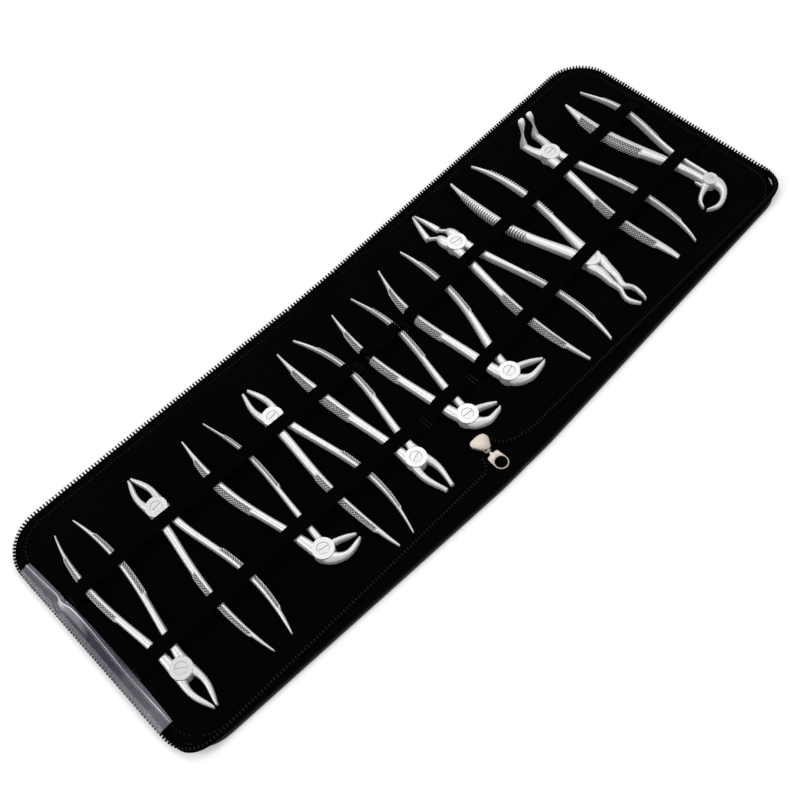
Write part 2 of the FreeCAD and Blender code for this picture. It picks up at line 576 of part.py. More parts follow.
def strap(x0, x1, y0, y1, seam0, seam1):
    """Elastic strap along X: sewn down at both ends, and over the instruments between."""
    def line(lift):
        m0, s0, r0 = seam0
        m1, s1, r1 = seam1
        low, high = LINING_TOP + lift, STRAP_Z + lift
        return [(x0 + m0, low), (x0 + m0 + s0, low), (x0 + m0 + s0 + r0, high),
                (x1 - m1 - s1 - r1, high), (x1 - m1 - s1, low), (x1 - m1, low)]
    profile = line(0.0) + line(STRAP_THICKNESS)[::-1]
    corners = [Vector(x, 0, z) for x, z in profile]
    face = Part.Face(Part.makePolygon(corners + corners[:1]))
    shape = face.extrude(Vector(0, STRAP_WIDTH, 0))
    shape.translate(Vector(0, (y0 + y1 - STRAP_WIDTH) / 2, 0))
    slope = math.degrees(math.atan2(y1 - y0, x1 - x0))
    shape.rotate(Vector((x0 + x1) / 2, (y0 + y1) / 2, 0), Vector(0, 0, 1), slope)
    return shape


def clear_strip():
    """Clear plastic strip that lies along the left end of the case."""
    left = LEFT_END + STRIP_MARGIN
    return box(left, left + STRIP_WIDTH, -HALF_WIDTH + STRIP_FROM_NEAR,
               HALF_WIDTH - STRIP_FROM_FAR, LINING_TOP, LINING_TOP + STRIP_THICKNESS)


def case_parts():
    """{node: solid} of the case."""
    panels = {"left": (LEFT_END, LEFT_FOLD), "right": (RIGHT_END, RIGHT_FOLD)}
    parts = {}
    for name, (end, fold) in panels.items():
        parts[f"cover_{name}"] = slab(panel_outline(end, fold), 0, COVER_THICKNESS)
        parts[f"board_{name}"] = slab(panel_outline(end, fold, BOARD_INSET), BOARD_Z,
                                      BOARD_THICKNESS)
        parts[f"lining_{name}"] = slab(panel_outline(end, fold, LINING_INSET), LINING_Z,
                                       LINING_THICKNESS)
        tape, chain = panel_zip(end, fold)
        parts[f"zip_tape_{name}"], parts[f"zip_chain_{name}"] = tape, chain
    parts["cover_spine"] = slab(spine_outline(), 0, COVER_THICKNESS)
    parts["board_spine"] = slab(spine_outline(BOARD_INSET), BOARD_Z, BOARD_THICKNESS)
    parts["lining_spine"] = slab(spine_outline(LINING_INSET), LINING_Z, LINING_THICKNESS)
    parts["zip_tape_spine"], parts["zip_chain_spine"] = spine_zip()
    edges = (LEFT_END, LEFT_FOLD, RIGHT_FOLD, RIGHT_END)
    seams = (STRIP_SEAM, FOLD_SEAM, FOLD_SEAM, END_SEAM)
    far_y = [HALF_WIDTH - inside for inside in FAR_STRAP_IN]
    near_y = [-HALF_WIDTH + inside for inside in NEAR_STRAP_IN]
    for row, y in (("far", far_y), ("near", near_y)):
        for i, name in enumerate(("left", "spine", "right")):
            parts[f"strap_{row}_{name}"] = strap(edges[i], edges[i + 1], y[i], y[i + 1],
                                                 seams[i], seams[i + 1])
    parts["clear_strip"] = clear_strip()
    parts["zip_slider"] = zip_slider()
    parts["zip_pull_tab"] = zip_pull_tab()
    return parts


def forceps_parts():
    """{node: solid} of all the instruments."""
    parts = {}
    for number, instrument in enumerate(INSTRUMENTS, start=1):
        for name, maker in (("front_half", front_half), ("back_half", back_half),
                            ("pivot_screw", pivot_screw)):
            parts[f"forceps_{number:02d}_{name}"] = lay_down(maker(instrument), instrument)
    return parts


def main():
    parts = case_parts()
    parts.update(forceps_parts())
    for node, shape in parts.items():
        shape.translate(Vector(0, MIDDLE_SHIFT, 0))
        shape.exportStep(f"parts/{node}.step")
        print(node, len(shape.Solids), shape.isValid(), round(shape.Volume, 1))


main()
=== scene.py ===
"""Looks of a set of dental extraction forceps in a zip-round case that lies open.

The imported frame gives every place: pivots, laps, panels and straps are read from it. Each
sub-assembly is a class that builds its own pieces and dresses them with its finishes.
"""

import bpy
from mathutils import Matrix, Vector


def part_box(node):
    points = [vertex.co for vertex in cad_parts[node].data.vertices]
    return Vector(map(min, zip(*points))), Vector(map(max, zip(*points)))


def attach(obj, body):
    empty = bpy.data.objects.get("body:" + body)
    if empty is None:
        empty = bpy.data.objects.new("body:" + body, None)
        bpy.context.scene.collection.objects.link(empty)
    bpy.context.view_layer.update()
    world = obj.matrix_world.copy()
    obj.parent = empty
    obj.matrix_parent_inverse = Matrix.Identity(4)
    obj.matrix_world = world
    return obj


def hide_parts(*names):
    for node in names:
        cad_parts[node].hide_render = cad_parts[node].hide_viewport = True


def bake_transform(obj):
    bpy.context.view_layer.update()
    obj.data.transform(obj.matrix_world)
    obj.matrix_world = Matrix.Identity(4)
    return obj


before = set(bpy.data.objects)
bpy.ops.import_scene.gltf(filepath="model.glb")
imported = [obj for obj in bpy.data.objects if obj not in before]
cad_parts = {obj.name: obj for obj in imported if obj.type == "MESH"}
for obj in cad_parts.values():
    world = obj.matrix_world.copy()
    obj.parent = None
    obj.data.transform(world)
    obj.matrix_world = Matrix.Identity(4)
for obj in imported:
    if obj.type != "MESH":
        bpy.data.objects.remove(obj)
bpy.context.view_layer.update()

import logging
import math
from dataclasses import dataclass, field
from enum import Enum
from typing import Callable, Sequence

import bmesh
import bpy
from mathutils import Matrix, Vector, noise

LOG = logging.getLogger("forceps_set")
MM = 0.001
UP = Vector((0, 0, 1))
SHARP_ANGLE = math.radians(50)   # edges that are softened meet at more than this
MERGE = 1e-7                     # points closer than this are one point


# ------------------------------------------------------------------ shader maths

class Wire:
    """A shader output that can be added, multiplied and compared like a number."""

    def __init__(self, bench: "Bench", socket: bpy.types.NodeSocket) -> None:
        """Keep the bench that made it and the socket it stands for."""
        self.bench = bench
        self.socket = socket

    def __add__(self, other: "Wire | float") -> "Wire":
        """Sum."""
        return self.bench.maths("ADD", self, other)

    def __radd__(self, other: float) -> "Wire":
        """Sum, number first."""
        return self.bench.maths("ADD", other, self)

    def __sub__(self, other: "Wire | float") -> "Wire":
        """Difference."""
        return self.bench.maths("SUBTRACT", self, other)

    def __rsub__(self, other: float) -> "Wire":
        """Difference, number first."""
        return self.bench.maths("SUBTRACT", other, self)

    def __mul__(self, other: "Wire | float") -> "Wire":
        """Product."""
        return self.bench.maths("MULTIPLY", self, other)

    def __rmul__(self, other: float) -> "Wire":
        """Product, number first."""
        return self.bench.maths("MULTIPLY", other, self)

    def __pow__(self, other: float) -> "Wire":
        """Power."""
        return self.bench.maths("POWER", self, other)

    def __gt__(self, other: "Wire | float") -> "Wire":
        """1 where this is larger, else 0."""
        return self.bench.maths("GREATER_THAN", self, other)

    def clamped(self) -> "Wire":
        """The value held between 0 and 1."""
        made = self.bench.make("ShaderNodeClamp", Value=self)
        return Wire(self.bench, made.outputs["Result"])


class Bench:
    """A material's node tree, with one method that makes any node."""

    def __init__(self, name: str) -> None:
        """Start an empty material with its output.

        Args:
            name: the material's name.
        """
        self.material = bpy.data.materials.new(name)
        self.material.use_nodes = True
        self.tree = self.material.node_tree
        self.tree.nodes.clear()
        self.out = self.tree.nodes.new("ShaderNodeOutputMaterial")

    def make(self, kind: str, settings: dict | None = None, **inputs: object) -> bpy.types.Node:
        """Make a node of any kind.

        Args:
            kind: the node's type name.
            settings: the node's own properties.
            inputs: value or Wire for each input, by name with spaces as underscores.

        Returns:
            The node.
        """
        node = self.tree.nodes.new(kind)
        for key, value in (settings or {}).items():
            setattr(node, key, value)
        for key, value in inputs.items():
            self.feed(node.inputs[key.replace("_", " ")], value)
        return node

    def feed(self, socket: bpy.types.NodeSocket, value: object) -> None:
        """Link a Wire to an input, or set a plain value on it.

        Args:
            socket: the input.
            value: a Wire, number, colour or vector.
        """
        if isinstance(value, Wire):
            self.tree.links.new(value.socket, socket)
        else:
            socket.default_value = value

    def maths(self, operation: str, a: "Wire | float", b: "Wire | float") -> Wire:
        """One Math node.

        Args:
            operation: the node's operation.
            a: first value.
            b: second value.

        Returns:
            The result.
        """
        node = self.make("ShaderNodeMath", {"operation": operation})
        self.feed(node.inputs[0], a)
        self.feed(node.inputs[1], b)
        return Wire(self, node.outputs[0])

    def place(self, scale: Sequence[float] = (1, 1, 1)) -> Wire:
        """Object coordinates, stretched by scale.

        Args:
            scale: stretch along each axis.

        Returns:
            The coordinates.
        """
        coordinates = self.make("ShaderNodeTexCoord")
        mapping = self.make("ShaderNodeMapping", Vector=Wire(self, coordinates.outputs["Object"]),
                            Scale=tuple(scale))
        return Wire(self, mapping.outputs["Vector"])

    def noise(self, scale: float, stretch: Sequence[float] = (1, 1, 1), detail: float = 3.0,
              roughness: float = 0.5) -> Wire:
        """Noise from 0 to 1 on Object coordinates.

        Args:
            scale: cells to a metre.
            stretch: of the coordinates.
            detail: octaves.
            roughness: weight of the finer octaves.

        Returns:
            The noise.
        """
        node = self.make("ShaderNodeTexNoise", Vector=self.place(stretch), Scale=scale,
                         Detail=detail, Roughness=roughness)
        return Wire(self, node.outputs["Factor" if "Factor" in node.outputs else "Fac"])

    def wave(self, scale: float, direction: str, distortion: float = 0.0) -> Wire:
        """Parallel waves across one axis of Object coordinates.

        Args:
            scale: of the pattern.
            direction: the axis they cross: X, Y or Z.
            distortion: how much they waver.

        Returns:
            The waves, from 0 to 1.
        """
        node = self.make("ShaderNodeTexWave", {"bands_direction": direction},
                         Vector=self.place(), Scale=scale, Distortion=distortion)
        return Wire(self, node.outputs["Factor" if "Factor" in node.outputs else "Fac"])

    def mix(self, factor: "Wire | float", low: Sequence[float], high: Sequence[float]) -> Wire:
        """A colour between low and high.

        Args:
            factor: 0 for low, 1 for high.
            low: red, green and blue.
            high: red, green and blue.

        Returns:
            The colour.
        """
        node = self.make("ShaderNodeMix", {"data_type": "RGBA"})
        self.feed(node.inputs["Factor"], factor)
        self.feed(node.inputs["A"], (*low, 1.0))
        self.feed(node.inputs["B"], (*high, 1.0))
        return Wire(self, node.outputs["Result"])

    def bump(self, height: Wire, distance: float, strength: float = 1.0,
             under: Wire | None = None) -> Wire:
        """A normal bent by a height field.

        Args:
            height: the height field.
            distance: its full height, in metres.
            strength: its share in the result.
            under: a normal that it is laid over.

        Returns:
            The normal.
        """
        node = self.make("ShaderNodeBump", Height=height, Distance=distance, Strength=strength)
        if under is not None:
            self.feed(node.inputs["Normal"], under)
        return Wire(self, node.outputs["Normal"])

    def attribute(self, name: str) -> Wire:
        """A number stored on the mesh."""
        node = self.make("ShaderNodeAttribute", {"attribute_name": name})
        return Wire(self, node.outputs["Fac"])

    def finish(self, **inputs: object) -> bpy.types.Material:
        """Send a Principled shader with these inputs to the output.

        Args:
            inputs: value or Wire for each input, by name with spaces as underscores.

        Returns:
            The finished material.
        """
        shader = self.make("ShaderNodeBsdfPrincipled", **inputs)
        self.tree.links.new(shader.outputs[0], self.out.inputs["Surface"])
        return self.material


# ------------------------------------------------------------------ finishes

@dataclass(frozen=True)
class SatinSteel:
    """Blasted and brushed stainless steel of the forceps."""
    name: str = "satin_steel"
    colour: tuple[float, float, float] = (0.80, 0.805, 0.815)
    shade: tuple[float, float, float] = (0.70, 0.705, 0.72)
    rough: float = 0.40
    metal: float = 0.50

    def material(self) -> bpy.types.Material:
        """Fine lengthwise brushing, soft cloudy wear and faint scratches.

        Returns:
            The material.
        """
        b = Bench(self.name)
        cloud = b.noise(60.0, detail=2.0)
        brush = b.noise(900.0, (3.0, 0.12, 1.0), detail=3.0)
        grit = b.noise(2600.0, detail=2.0)
        scratch = (b.noise(240.0, (0.2, 6.0, 3.0), detail=4.0) > 0.66)
        colour = b.mix(cloud, self.shade, self.colour)
        rough = self.rough + (cloud - 0.5) * 0.10 + (brush - 0.5) * 0.12 + scratch * 0.03
        normal = b.bump(brush * 0.6 + grit * 0.4, 0.00002, 0.55)
        return b.finish(Base_Color=colour, Metallic=self.metal, Roughness=rough, Normal=normal)


@dataclass(frozen=True)
class KnurledSteel:
    """The same steel where it is cut into diamonds or ridges."""
    name: str = "knurled_steel"
    # colour of the valleys: painted shade on the same steel
    valley_painted_shade: tuple[float, float, float] = (0.09, 0.091, 0.096)
    crest: tuple[float, float, float] = (0.90, 0.905, 0.915)
    metal: float = 0.50

    def material(self) -> bpy.types.Material:
        """Bright worn crests over valleys darkened with painted shade, from the cut's own height.

        Returns:
            The material.
        """
        b = Bench(self.name)
        grit = b.noise(1500.0, detail=3.0)
        # painted shade: dark in the cut's valleys, light on the worn crests
        wear_and_painted_light = (b.attribute("cut") * 1.7 - 0.28 + (grit - 0.5) * 0.35).clamped()
        return b.finish(Metallic=self.metal, Base_Color=b.mix(wear_and_painted_light, self.valley_painted_shade, self.crest),
                        Roughness=0.46 - wear_and_painted_light * 0.16, Normal=b.bump(grit, 0.00003, 0.5))


@dataclass(frozen=True)
class TurnedSteel:
    """Lathe-turned steel of the pivot screws."""
    name: str = "turned_steel"
    colour: tuple[float, float, float] = (0.78, 0.785, 0.795)
    shade: tuple[float, float, float] = (0.68, 0.685, 0.70)
    rough: float = 0.36
    metal: float = 0.50

    def material(self) -> bpy.types.Material:
        """Fine grit with a little tarnish in patches.

        Returns:
            The material.
        """
        b = Bench(self.name)
        cloud = b.noise(150.0, detail=3.0)
        grit = b.noise(3200.0, detail=2.0)
        return b.finish(Base_Color=b.mix(cloud, self.shade, self.colour), Metallic=self.metal,
                        Roughness=self.rough + cloud * 0.12,
                        Normal=b.bump(grit, 0.00002, 0.5))


@dataclass(frozen=True)
class Velvet:
    """Deep black velvet with a short pile."""
    name: str = "black_velvet"
    deep: tuple[float, float, float] = (0.0004, 0.0004, 0.0005)
    brushed: tuple[float, float, float] = (0.0016, 0.0016, 0.0018)

    def material(self) -> bpy.types.Material:
        """Pile grain, and soft patches where the pile lies another way.

        Returns:
            The material.
        """
        b = Bench(self.name)
        patch = b.noise(16.0, (1.0, 2.2, 1.0), detail=4.0)
        pile = b.noise(2600.0, detail=2.0, roughness=0.7)
        lint = (b.noise(900.0, detail=1.0) > 0.80)
        colour = b.mix((patch * 0.75 + pile * 0.35 + lint * 0.25).clamped(),
                       self.deep, self.brushed)
        normal = b.bump(pile + patch * 0.4, 0.00018, 0.8)
        return b.finish(Base_Color=colour, Roughness=1.0, Specular_IOR_Level=0.02,
                        Sheen_Weight=0.008, Sheen_Roughness=0.4, Normal=normal)


@dataclass(frozen=True)
class Leatherette:
    """Black grained leatherette of the outer cover."""
    name: str = "black_leatherette"
    base: tuple[float, float, float] = (0.010, 0.010, 0.011)
    wear_and_painted_light: tuple[float, float, float] = (0.026, 0.026, 0.028)

    def material(self) -> bpy.types.Material:
        """Cell grain with glossy tops and dull valleys.

        Returns:
            The material.
        """
        b = Bench(self.name)
        cells = b.make("ShaderNodeTexVoronoi", {"feature": "SMOOTH_F1"}, Vector=b.place(),
                       Scale=900.0)
        grain = Wire(b, cells.outputs["Distance"])
        wear = b.noise(40.0, detail=5.0)
        colour = b.mix(wear, self.base, self.wear_and_painted_light)
        normal = b.bump(grain + wear * 0.3, 0.0002, 0.6)
        return b.finish(Base_Color=colour, Roughness=0.42 + grain * 0.25, Coat_Weight=0.1,
                        Normal=normal)


@dataclass(frozen=True)
class WovenBlack:
    """Black woven narrow cloth: elastic, tape or thread."""
    name: str
    across: str = "X"
    pitch: float = 0.0008
    light: tuple[float, float, float] = (0.0013, 0.0013, 0.0014)
    dark: tuple[float, float, float] = (0.0004, 0.0004, 0.0005)

    def material(self) -> bpy.types.Material:
        """Ribs across the strip crossed by a finer thread.

        Returns:
            The material.
        """
        b = Bench(self.name)
        turn = 2 * math.pi / self.pitch / 20.0
        rib = b.wave(turn, self.across)
        thread = b.wave(turn * 1.7, "Y" if self.across == "X" else "X")
        fuzz = b.noise(1800.0, detail=2.0)
        weave = rib * 0.65 + thread * 0.35
        colour = b.mix((weave * 0.8 + fuzz * 0.3).clamped(), self.dark, self.light)
        return b.finish(Base_Color=colour, Roughness=0.92, Specular_IOR_Level=0.014,
                        Normal=b.bump(weave + fuzz * 0.3, 0.00015, 0.8))


@dataclass(frozen=True)
class MouldedBlack:
    """Black moulded plastic of the zip teeth."""
    name: str = "zip_teeth_plastic"
    fresh: tuple[float, float, float] = (0.003, 0.003, 0.004)
    rubbed: tuple[float, float, float] = (0.009, 0.009, 0.010)

    def material(self) -> bpy.types.Material:
        """Half-gloss with a fine moulded texture.

        Returns:
            The material.
        """
        b = Bench(self.name)
        wear = b.noise(700.0, detail=3.0)
        return b.finish(Base_Color=b.mix(wear, self.fresh, self.rubbed),
                        Roughness=0.42 + wear * 0.18, Specular_IOR_Level=0.10,
                        Normal=b.bump(wear, 0.00004, 0.5))


@dataclass(frozen=True)
class PaleNickel:
    """Warm pale nickel plate of the slider and its tab."""
    name: str = "pale_nickel"
    dull: tuple[float, float, float] = (0.44, 0.385, 0.33)
    clear: tuple[float, float, float] = (0.56, 0.50, 0.44)

    def material(self) -> bpy.types.Material:
        """Worn plating: clearer on the flats, duller where it is rubbed.

        Returns:
            The material.
        """
        b = Bench(self.name)
        rub = b.noise(260.0, detail=4.0)
        grit = b.noise(3000.0, detail=2.0)
        return b.finish(Base_Color=b.mix(rub, self.dull, self.clear), Metallic=0.85,
                        Roughness=0.30 + rub * 0.16, Normal=b.bump(grit, 0.00002, 0.5))


@dataclass(frozen=True)
class ClearFilm:
    """Clear plastic strip with a blue-grey shine."""
    name: str = "clear_film"
    clear: tuple[float, float, float] = (0.045, 0.047, 0.075)
    # white of the milky haze and of the painted highlights
    white: tuple[float, float, float] = (0.90, 0.91, 0.98)

    def material(self) -> bpy.types.Material:
        """Glossy milky film, clouded where it is creased, with painted highlights whitening its
        ridge, smears and bend.

        Returns:
            The material.
        """
        b = Bench(self.name)
        cloud = b.noise(34.0, (1.0, 0.35, 1.0), detail=3.0)
        crease = b.noise(260.0, (0.6, 1.0, 1.0), detail=4.0)
        # painted highlight: the strip's stored highlight value whitens the film and makes it less
        # clear
        haze_and_highlight = (((cloud - 0.45) * 0.8).clamped() + (crease - 0.5) * 0.10
                + b.attribute("wear_and_painted_light")).clamped()
        return b.finish(Roughness=0.22 + crease * 0.16,
                        Base_Color=b.mix(haze_and_highlight, self.clear, self.white),
                        Alpha=0.46 + haze_and_highlight * 0.5, Coat_Weight=0.35,
                        Normal=b.bump(crease + cloud, 0.0003, 0.5))


# ------------------------------------------------------------------ mesh helpers

def add_object(name: str, data: bpy.types.ID) -> bpy.types.Object:
    """A new object in the scene, at the origin.

    Args:
        name: its name.
        data: its mesh, light or camera.

    Returns:
        The object.
    """
    made = bpy.data.objects.new(name, data)
    bpy.context.scene.collection.objects.link(made)
    return made


def verts_in(geometry: Sequence[object]) -> list[bmesh.types.BMVert]:
    """The vertices among what an operator made."""
    return [g for g in geometry if isinstance(g, bmesh.types.BMVert)]


def sharp_edges(bm: bmesh.types.BMesh) -> list[bmesh.types.BMEdge]:
    """Edges whose two faces meet at a sharp angle."""
    return [e for e in bm.edges
            if len(e.link_faces) == 2 and e.calc_face_angle(0.0) > SHARP_ANGLE]


def soften(bm: bmesh.types.BMesh, edges: Sequence[bmesh.types.BMEdge], radius: float,
           segments: int = 3) -> None:
    """Round edges off.

    Args:
        bm: the bmesh they belong to.
        edges: the edges.
        radius: how far the rounding reaches from each edge.
        segments: rows of faces across it.
    """
    bmesh.ops.bevel(bm, geom=edges, offset=radius, segments=segments, profile=0.5,
                    affect="EDGES", material=-1)


def sideways(along: Vector) -> Vector:
    """The level direction to the left of a path."""
    return UP.cross(along).normalized()


def piece_from(bm: bmesh.types.BMesh, name: str, finish: bpy.types.Material,
               smooth_angle: float = 32.0) -> bpy.types.Object:
    """Make an object at the origin from a bmesh, smooth except at sharp edges.

    Args:
        bm: the finished bmesh, in metres; it is freed.
        name: the piece's name.
        finish: its material.
        smooth_angle: edges sharper than this, in degrees, stay sharp.

    Returns:
        The new object.
    """
    mesh = bpy.data.meshes.new(name)
    for face in bm.faces:
        face.smooth = True
    limit = math.radians(smooth_angle)
    for edge in bm.edges:
        edge.smooth = len(edge.link_faces) == 2 and edge.calc_face_angle(0.0) < limit
    bm.to_mesh(mesh)
    bm.free()
    mesh.materials.append(finish)
    return add_object(name, mesh)


def sweep(bm: bmesh.types.BMesh, count: int, rings: int,
          at: Callable[[int, int], Vector], closed: bool = True) -> None:
    """Grow a bar ring by ring: each ring is extruded from the last and moved to its place.

    Args:
        bm: the bmesh to add to.
        count: corners in a ring.
        rings: how many rings.
        at: gives the place of corner number k of ring number r.
        closed: whether both ends are capped.
    """
    mark = bm.verts.layers.int.get("turn") or bm.verts.layers.int.new("turn")
    start = bmesh.ops.create_circle(bm, segments=count, radius=1.0, cap_ends=False)["verts"]
    for k, vert in enumerate(start):
        vert[mark] = k
        vert.co = at(0, k)
    edges = list({e for v in start for e in v.link_edges})
    first = list(edges)
    for r in range(1, rings):
        grown = bmesh.ops.extrude_edge_only(bm, edges=edges)["geom"]
        for vert in verts_in(grown):
            vert.co = at(r, vert[mark])
        edges = [g for g in grown
                 if isinstance(g, bmesh.types.BMEdge) and len(g.link_faces) == 1]
    if closed:
        bmesh.ops.edgeloop_fill(bm, edges=first)
        bmesh.ops.edgeloop_fill(bm, edges=edges)
    bmesh.ops.recalc_face_normals(bm, faces=bm.faces)


def lathe(bm: bmesh.types.BMesh, profile: Sequence[tuple[float, float]], steps: int) -> None:
    """Spin a closed (radius, height) profile round the Z axis.

    Args:
        bm: the bmesh to add to.
        profile: radius and height of each corner.
        steps: faces round the axis.
    """
    verts = [bm.verts.new((r, 0.0, z)) for r, z in profile]
    edges = [bm.edges.new((verts[i - 1], verts[i])) for i in range(len(verts))]
    bmesh.ops.spin(bm, geom=verts + edges, axis=(0, 0, 1), cent=(0, 0, 0),
                   angle=2 * math.pi, steps=steps, use_merge=True)
    bmesh.ops.remove_doubles(bm, verts=bm.verts, dist=MERGE)
    bmesh.ops.recalc_face_normals(bm, faces=bm.faces)


def carved(source: bmesh.types.BMesh, tool: bmesh.types.BMesh) -> bmesh.types.BMesh:
    """What is left of source when tool is cut away; both are freed.

    Args:
        source: the shape that is cut.
        tool: the shape that cuts it.

    Returns:
        A new bmesh.
    """
    objects = []
    for bm in (source, tool):
        mesh = bpy.data.meshes.new("carving")
        bm.to_mesh(mesh)
        bm.free()
        objects.append(add_object("carving", mesh))
    cut = objects[0].modifiers.new("cut", "BOOLEAN")
    cut.operation = "DIFFERENCE"
    cut.solver = "EXACT"
    cut.object = objects[1]
    graph = bpy.context.evaluated_depsgraph_get()
    result = bpy.data.meshes.new_from_object(objects[0].evaluated_get(graph))
    out = bmesh.new()
    out.from_mesh(result)
    for made in objects:
        data = made.data
        bpy.data.objects.remove(made)
        bpy.data.meshes.remove(data)
    bpy.data.meshes.remove(result)
    return out


def plate(outline: Sequence[tuple[float, float]], low: float, high: float, soft: float,
          hole: tuple[float, float, float] | None = None) -> bmesh.types.BMesh:
    """A flat plate with softened edges, and a round hole where one is asked for.

    Args:
        outline: its corners in order, as x and y.
        low: its underside.
        high: its top.
        soft: radius of its edges.
        hole: x, y and radius of the hole.

    Returns:
        The bmesh.
    """
    bm = bmesh.new()
    verts = [bm.verts.new((x, y, low)) for x, y in outline]
    edges = [bm.edges.new((verts[i - 1], verts[i])) for i in range(len(verts))]
    bmesh.ops.edgeloop_fill(bm, edges=edges)
    grown = bmesh.ops.extrude_face_region(bm, geom=list(bm.faces))["geom"]
    bmesh.ops.translate(bm, verts=verts_in(grown), vec=(0, 0, high - low))
    bmesh.ops.recalc_face_normals(bm, faces=bm.faces)
    if hole is not None:
        tool = bmesh.new()
        bmesh.ops.create_cone(tool, cap_ends=True, segments=48, radius1=hole[2],
                              radius2=hole[2], depth=4 * (high - low))
        bmesh.ops.translate(tool, verts=tool.verts, vec=(hole[0], hole[1], (low + high) / 2))
        bm = carved(bm, tool)
    soften(bm, sharp_edges(bm), soft)
    bmesh.ops.recalc_face_normals(bm, faces=bm.faces)
    return bm


def joined(parts: Sequence[bmesh.types.BMesh]) -> bmesh.types.BMesh:
    """All parts in one bmesh; each part is freed.

    Args:
        parts: the bmeshes.

    Returns:
        A new bmesh.
    """
    out = bmesh.new()
    for part in parts:
        mesh = bpy.data.meshes.new("part")
        part.to_mesh(mesh)
        part.free()
        out.from_mesh(mesh)
        bpy.data.meshes.remove(mesh)
    return out


def round_bar(points: Sequence[Vector], radius: float, corners: int = 12) -> bmesh.types.BMesh:
    """A round bar along a path of points.

    Args:
        points: the path.
        radius: of the bar.
        corners: round the bar.

    Returns:
        The bmesh.
    """
    along_y = 0.99           # a path steeper than this along Y takes another side

    def at(r: int, k: int) -> Vector:
        """Corner k of the ring at point r.

        Args:
            r: the ring.
            k: the corner.

        Returns:
            Its place.
        """
        ahead = points[min(r + 1, len(points) - 1)] - points[max(r - 1, 0)]
        side = ahead.orthogonal().normalized() if abs(ahead.normalized().y) > along_y else \
            Vector((0, 1, 0)).cross(ahead).normalized()
        other = ahead.cross(side).normalized()
        turn = 2 * math.pi * k / corners
        return points[r] + side * (radius * math.cos(turn)) + other * (radius * math.sin(turn))

    bm = bmesh.new()
    sweep(bm, corners, len(points), at)
    return bm


def through(points: Sequence[Sequence[float]], where: float) -> list[float]:
    """A smooth curve through rows of numbers, with slopes weighed by the rows' spacing.

    Args:
        points: the rows; the first two numbers of each are its place.
        where: place along the curve, from 0 to the last row's index.

    Returns:
        The row there.
    """
    last = len(points) - 1
    i = min(int(where), last - 1)
    f = where - i
    rows = [points[max(i - 1, 0)], points[i], points[i + 1], points[min(i + 2, last)]]
    before, span, after = (max(math.dist(a[:2], b[:2]), 1e-9) for a, b in zip(rows, rows[1:]))
    f2, f3 = f * f, f * f * f
    out = []
    for p0, p1, p2, p3 in zip(*rows):
        s0, s1, s2 = (p1 - p0) / before, (p2 - p1) / span, (p3 - p2) / after
        m1 = s1 if i == 0 else (s0 * span + s1 * before) / (before + span)
        m2 = s1 if i + 2 > last else (s1 * after + s2 * span) / (span + after)
        out.append((2 * f3 - 3 * f2 + 1) * p1 + (f3 - 2 * f2 + f) * span * m1
                   + (3 * f2 - 2 * f3) * p2 + (f3 - f2) * span * m2)
    return out


def smooth_step(low: float, high: float, value: float) -> float:
    """0 below low, 1 above high, smooth between."""
    f = min(max((value - low) / (high - low), 0.0), 1.0)
    return f * f * (3 - 2 * f)


# ------------------------------------------------------------------ the case

class Side(Enum):
    """The two long panels of the case."""
    LEFT = "left"
    RIGHT = "right"

    @property
    def way(self) -> int:
        """Which way along X the panel runs from its fold."""
        return -1 if self is Side.LEFT else 1


CORNER_RADIUS = 31 * MM
LINING_INSET = 1.6 * MM      # from the cover's edge to the lining's
TAPE_REACH = 2.6 * MM        # the tape stands this far outside the cover's edge
NEAR_TAPE_INSET = 4.2 * MM   # middle of the turned-in tape, inside the cover's edge
TOOTH_PITCH = 2.8 * MM       # from one zip tooth to the next
SEAM_INSET = 6.5 * MM        # the border stitches, inside the cover's edge
FAR_DIP = 7 * MM             # the far edge comes in by this at the folds
NEAR_BULGE = 12 * MM         # the near edge goes out by this at the folds


@dataclass
class Plan:
    """Edges of the case, read from the frame."""
    left_end: float = 0.0
    left_fold: float = 0.0
    right_fold: float = 0.0
    right_end: float = 0.0
    half_width: float = 0.0
    centre_y: float = 0.0
    cover_top: float = 0.0
    lining_top: float = 0.0
    corner: float = CORNER_RADIUS

    @classmethod
    def read(cls) -> "Plan":
        """Take every edge from the boxes of the CAD nodes.

        Returns:
            The plan.
        """
        left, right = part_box("cover_left"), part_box("cover_right")
        half = (left[1].y - left[0].y - NEAR_BULGE) / 2
        return cls(left[0].x, left[1].x, right[0].x, right[1].x, half, left[1].y - half,
                   left[1].z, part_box("lining_left")[1].z)

    def lean(self, x: float, y: float) -> float:
        """How far the bowed outline carries a point from the straight one, along Y.

        Args:
            x: place along the case.
            y: place across the straight case, from its middle.

        Returns:
            The shift along Y.
        """
        if x < self.left_fold:
            start = self.left_end + self.corner
            share = (x - start) / (self.left_fold - start)
        else:
            start = self.right_end - self.corner
            share = (start - x) / (start - self.right_fold)
        across = (y + self.half_width) / (2 * self.half_width)
        share = min(max(share, 0.0), 1.0)
        return -share * (NEAR_BULGE * (1 - across) + FAR_DIP * across)

    def corner_point(self, side: "Side", far: bool, radius: float, turn: float,
                     height: float) -> Vector:
        """A point on the arc round one corner of the case.

        Args:
            side: the panel.
            far: whether it is the far corner.
            radius: from the corner's centre.
            turn: angle from the X axis towards the corner's long side.
            height: its Z.

        Returns:
            The point.
        """
        across = self.half_width - self.corner + radius * math.sin(turn)
        along = self.end(side) + side.way * (radius * math.cos(turn) - self.corner)
        return Vector((along, self.centre_y + (across if far else -across), height))

    @property
    def middle(self) -> float:
        """Middle of the spine."""
        return (self.left_fold + self.right_fold) / 2

    def end(self, side: Side) -> float:
        """X of a panel's end."""
        return self.left_end if side is Side.LEFT else self.right_end

    def fold(self, side: Side) -> float:
        """X of a panel's fold."""
        return self.left_fold if side is Side.LEFT else self.right_fold


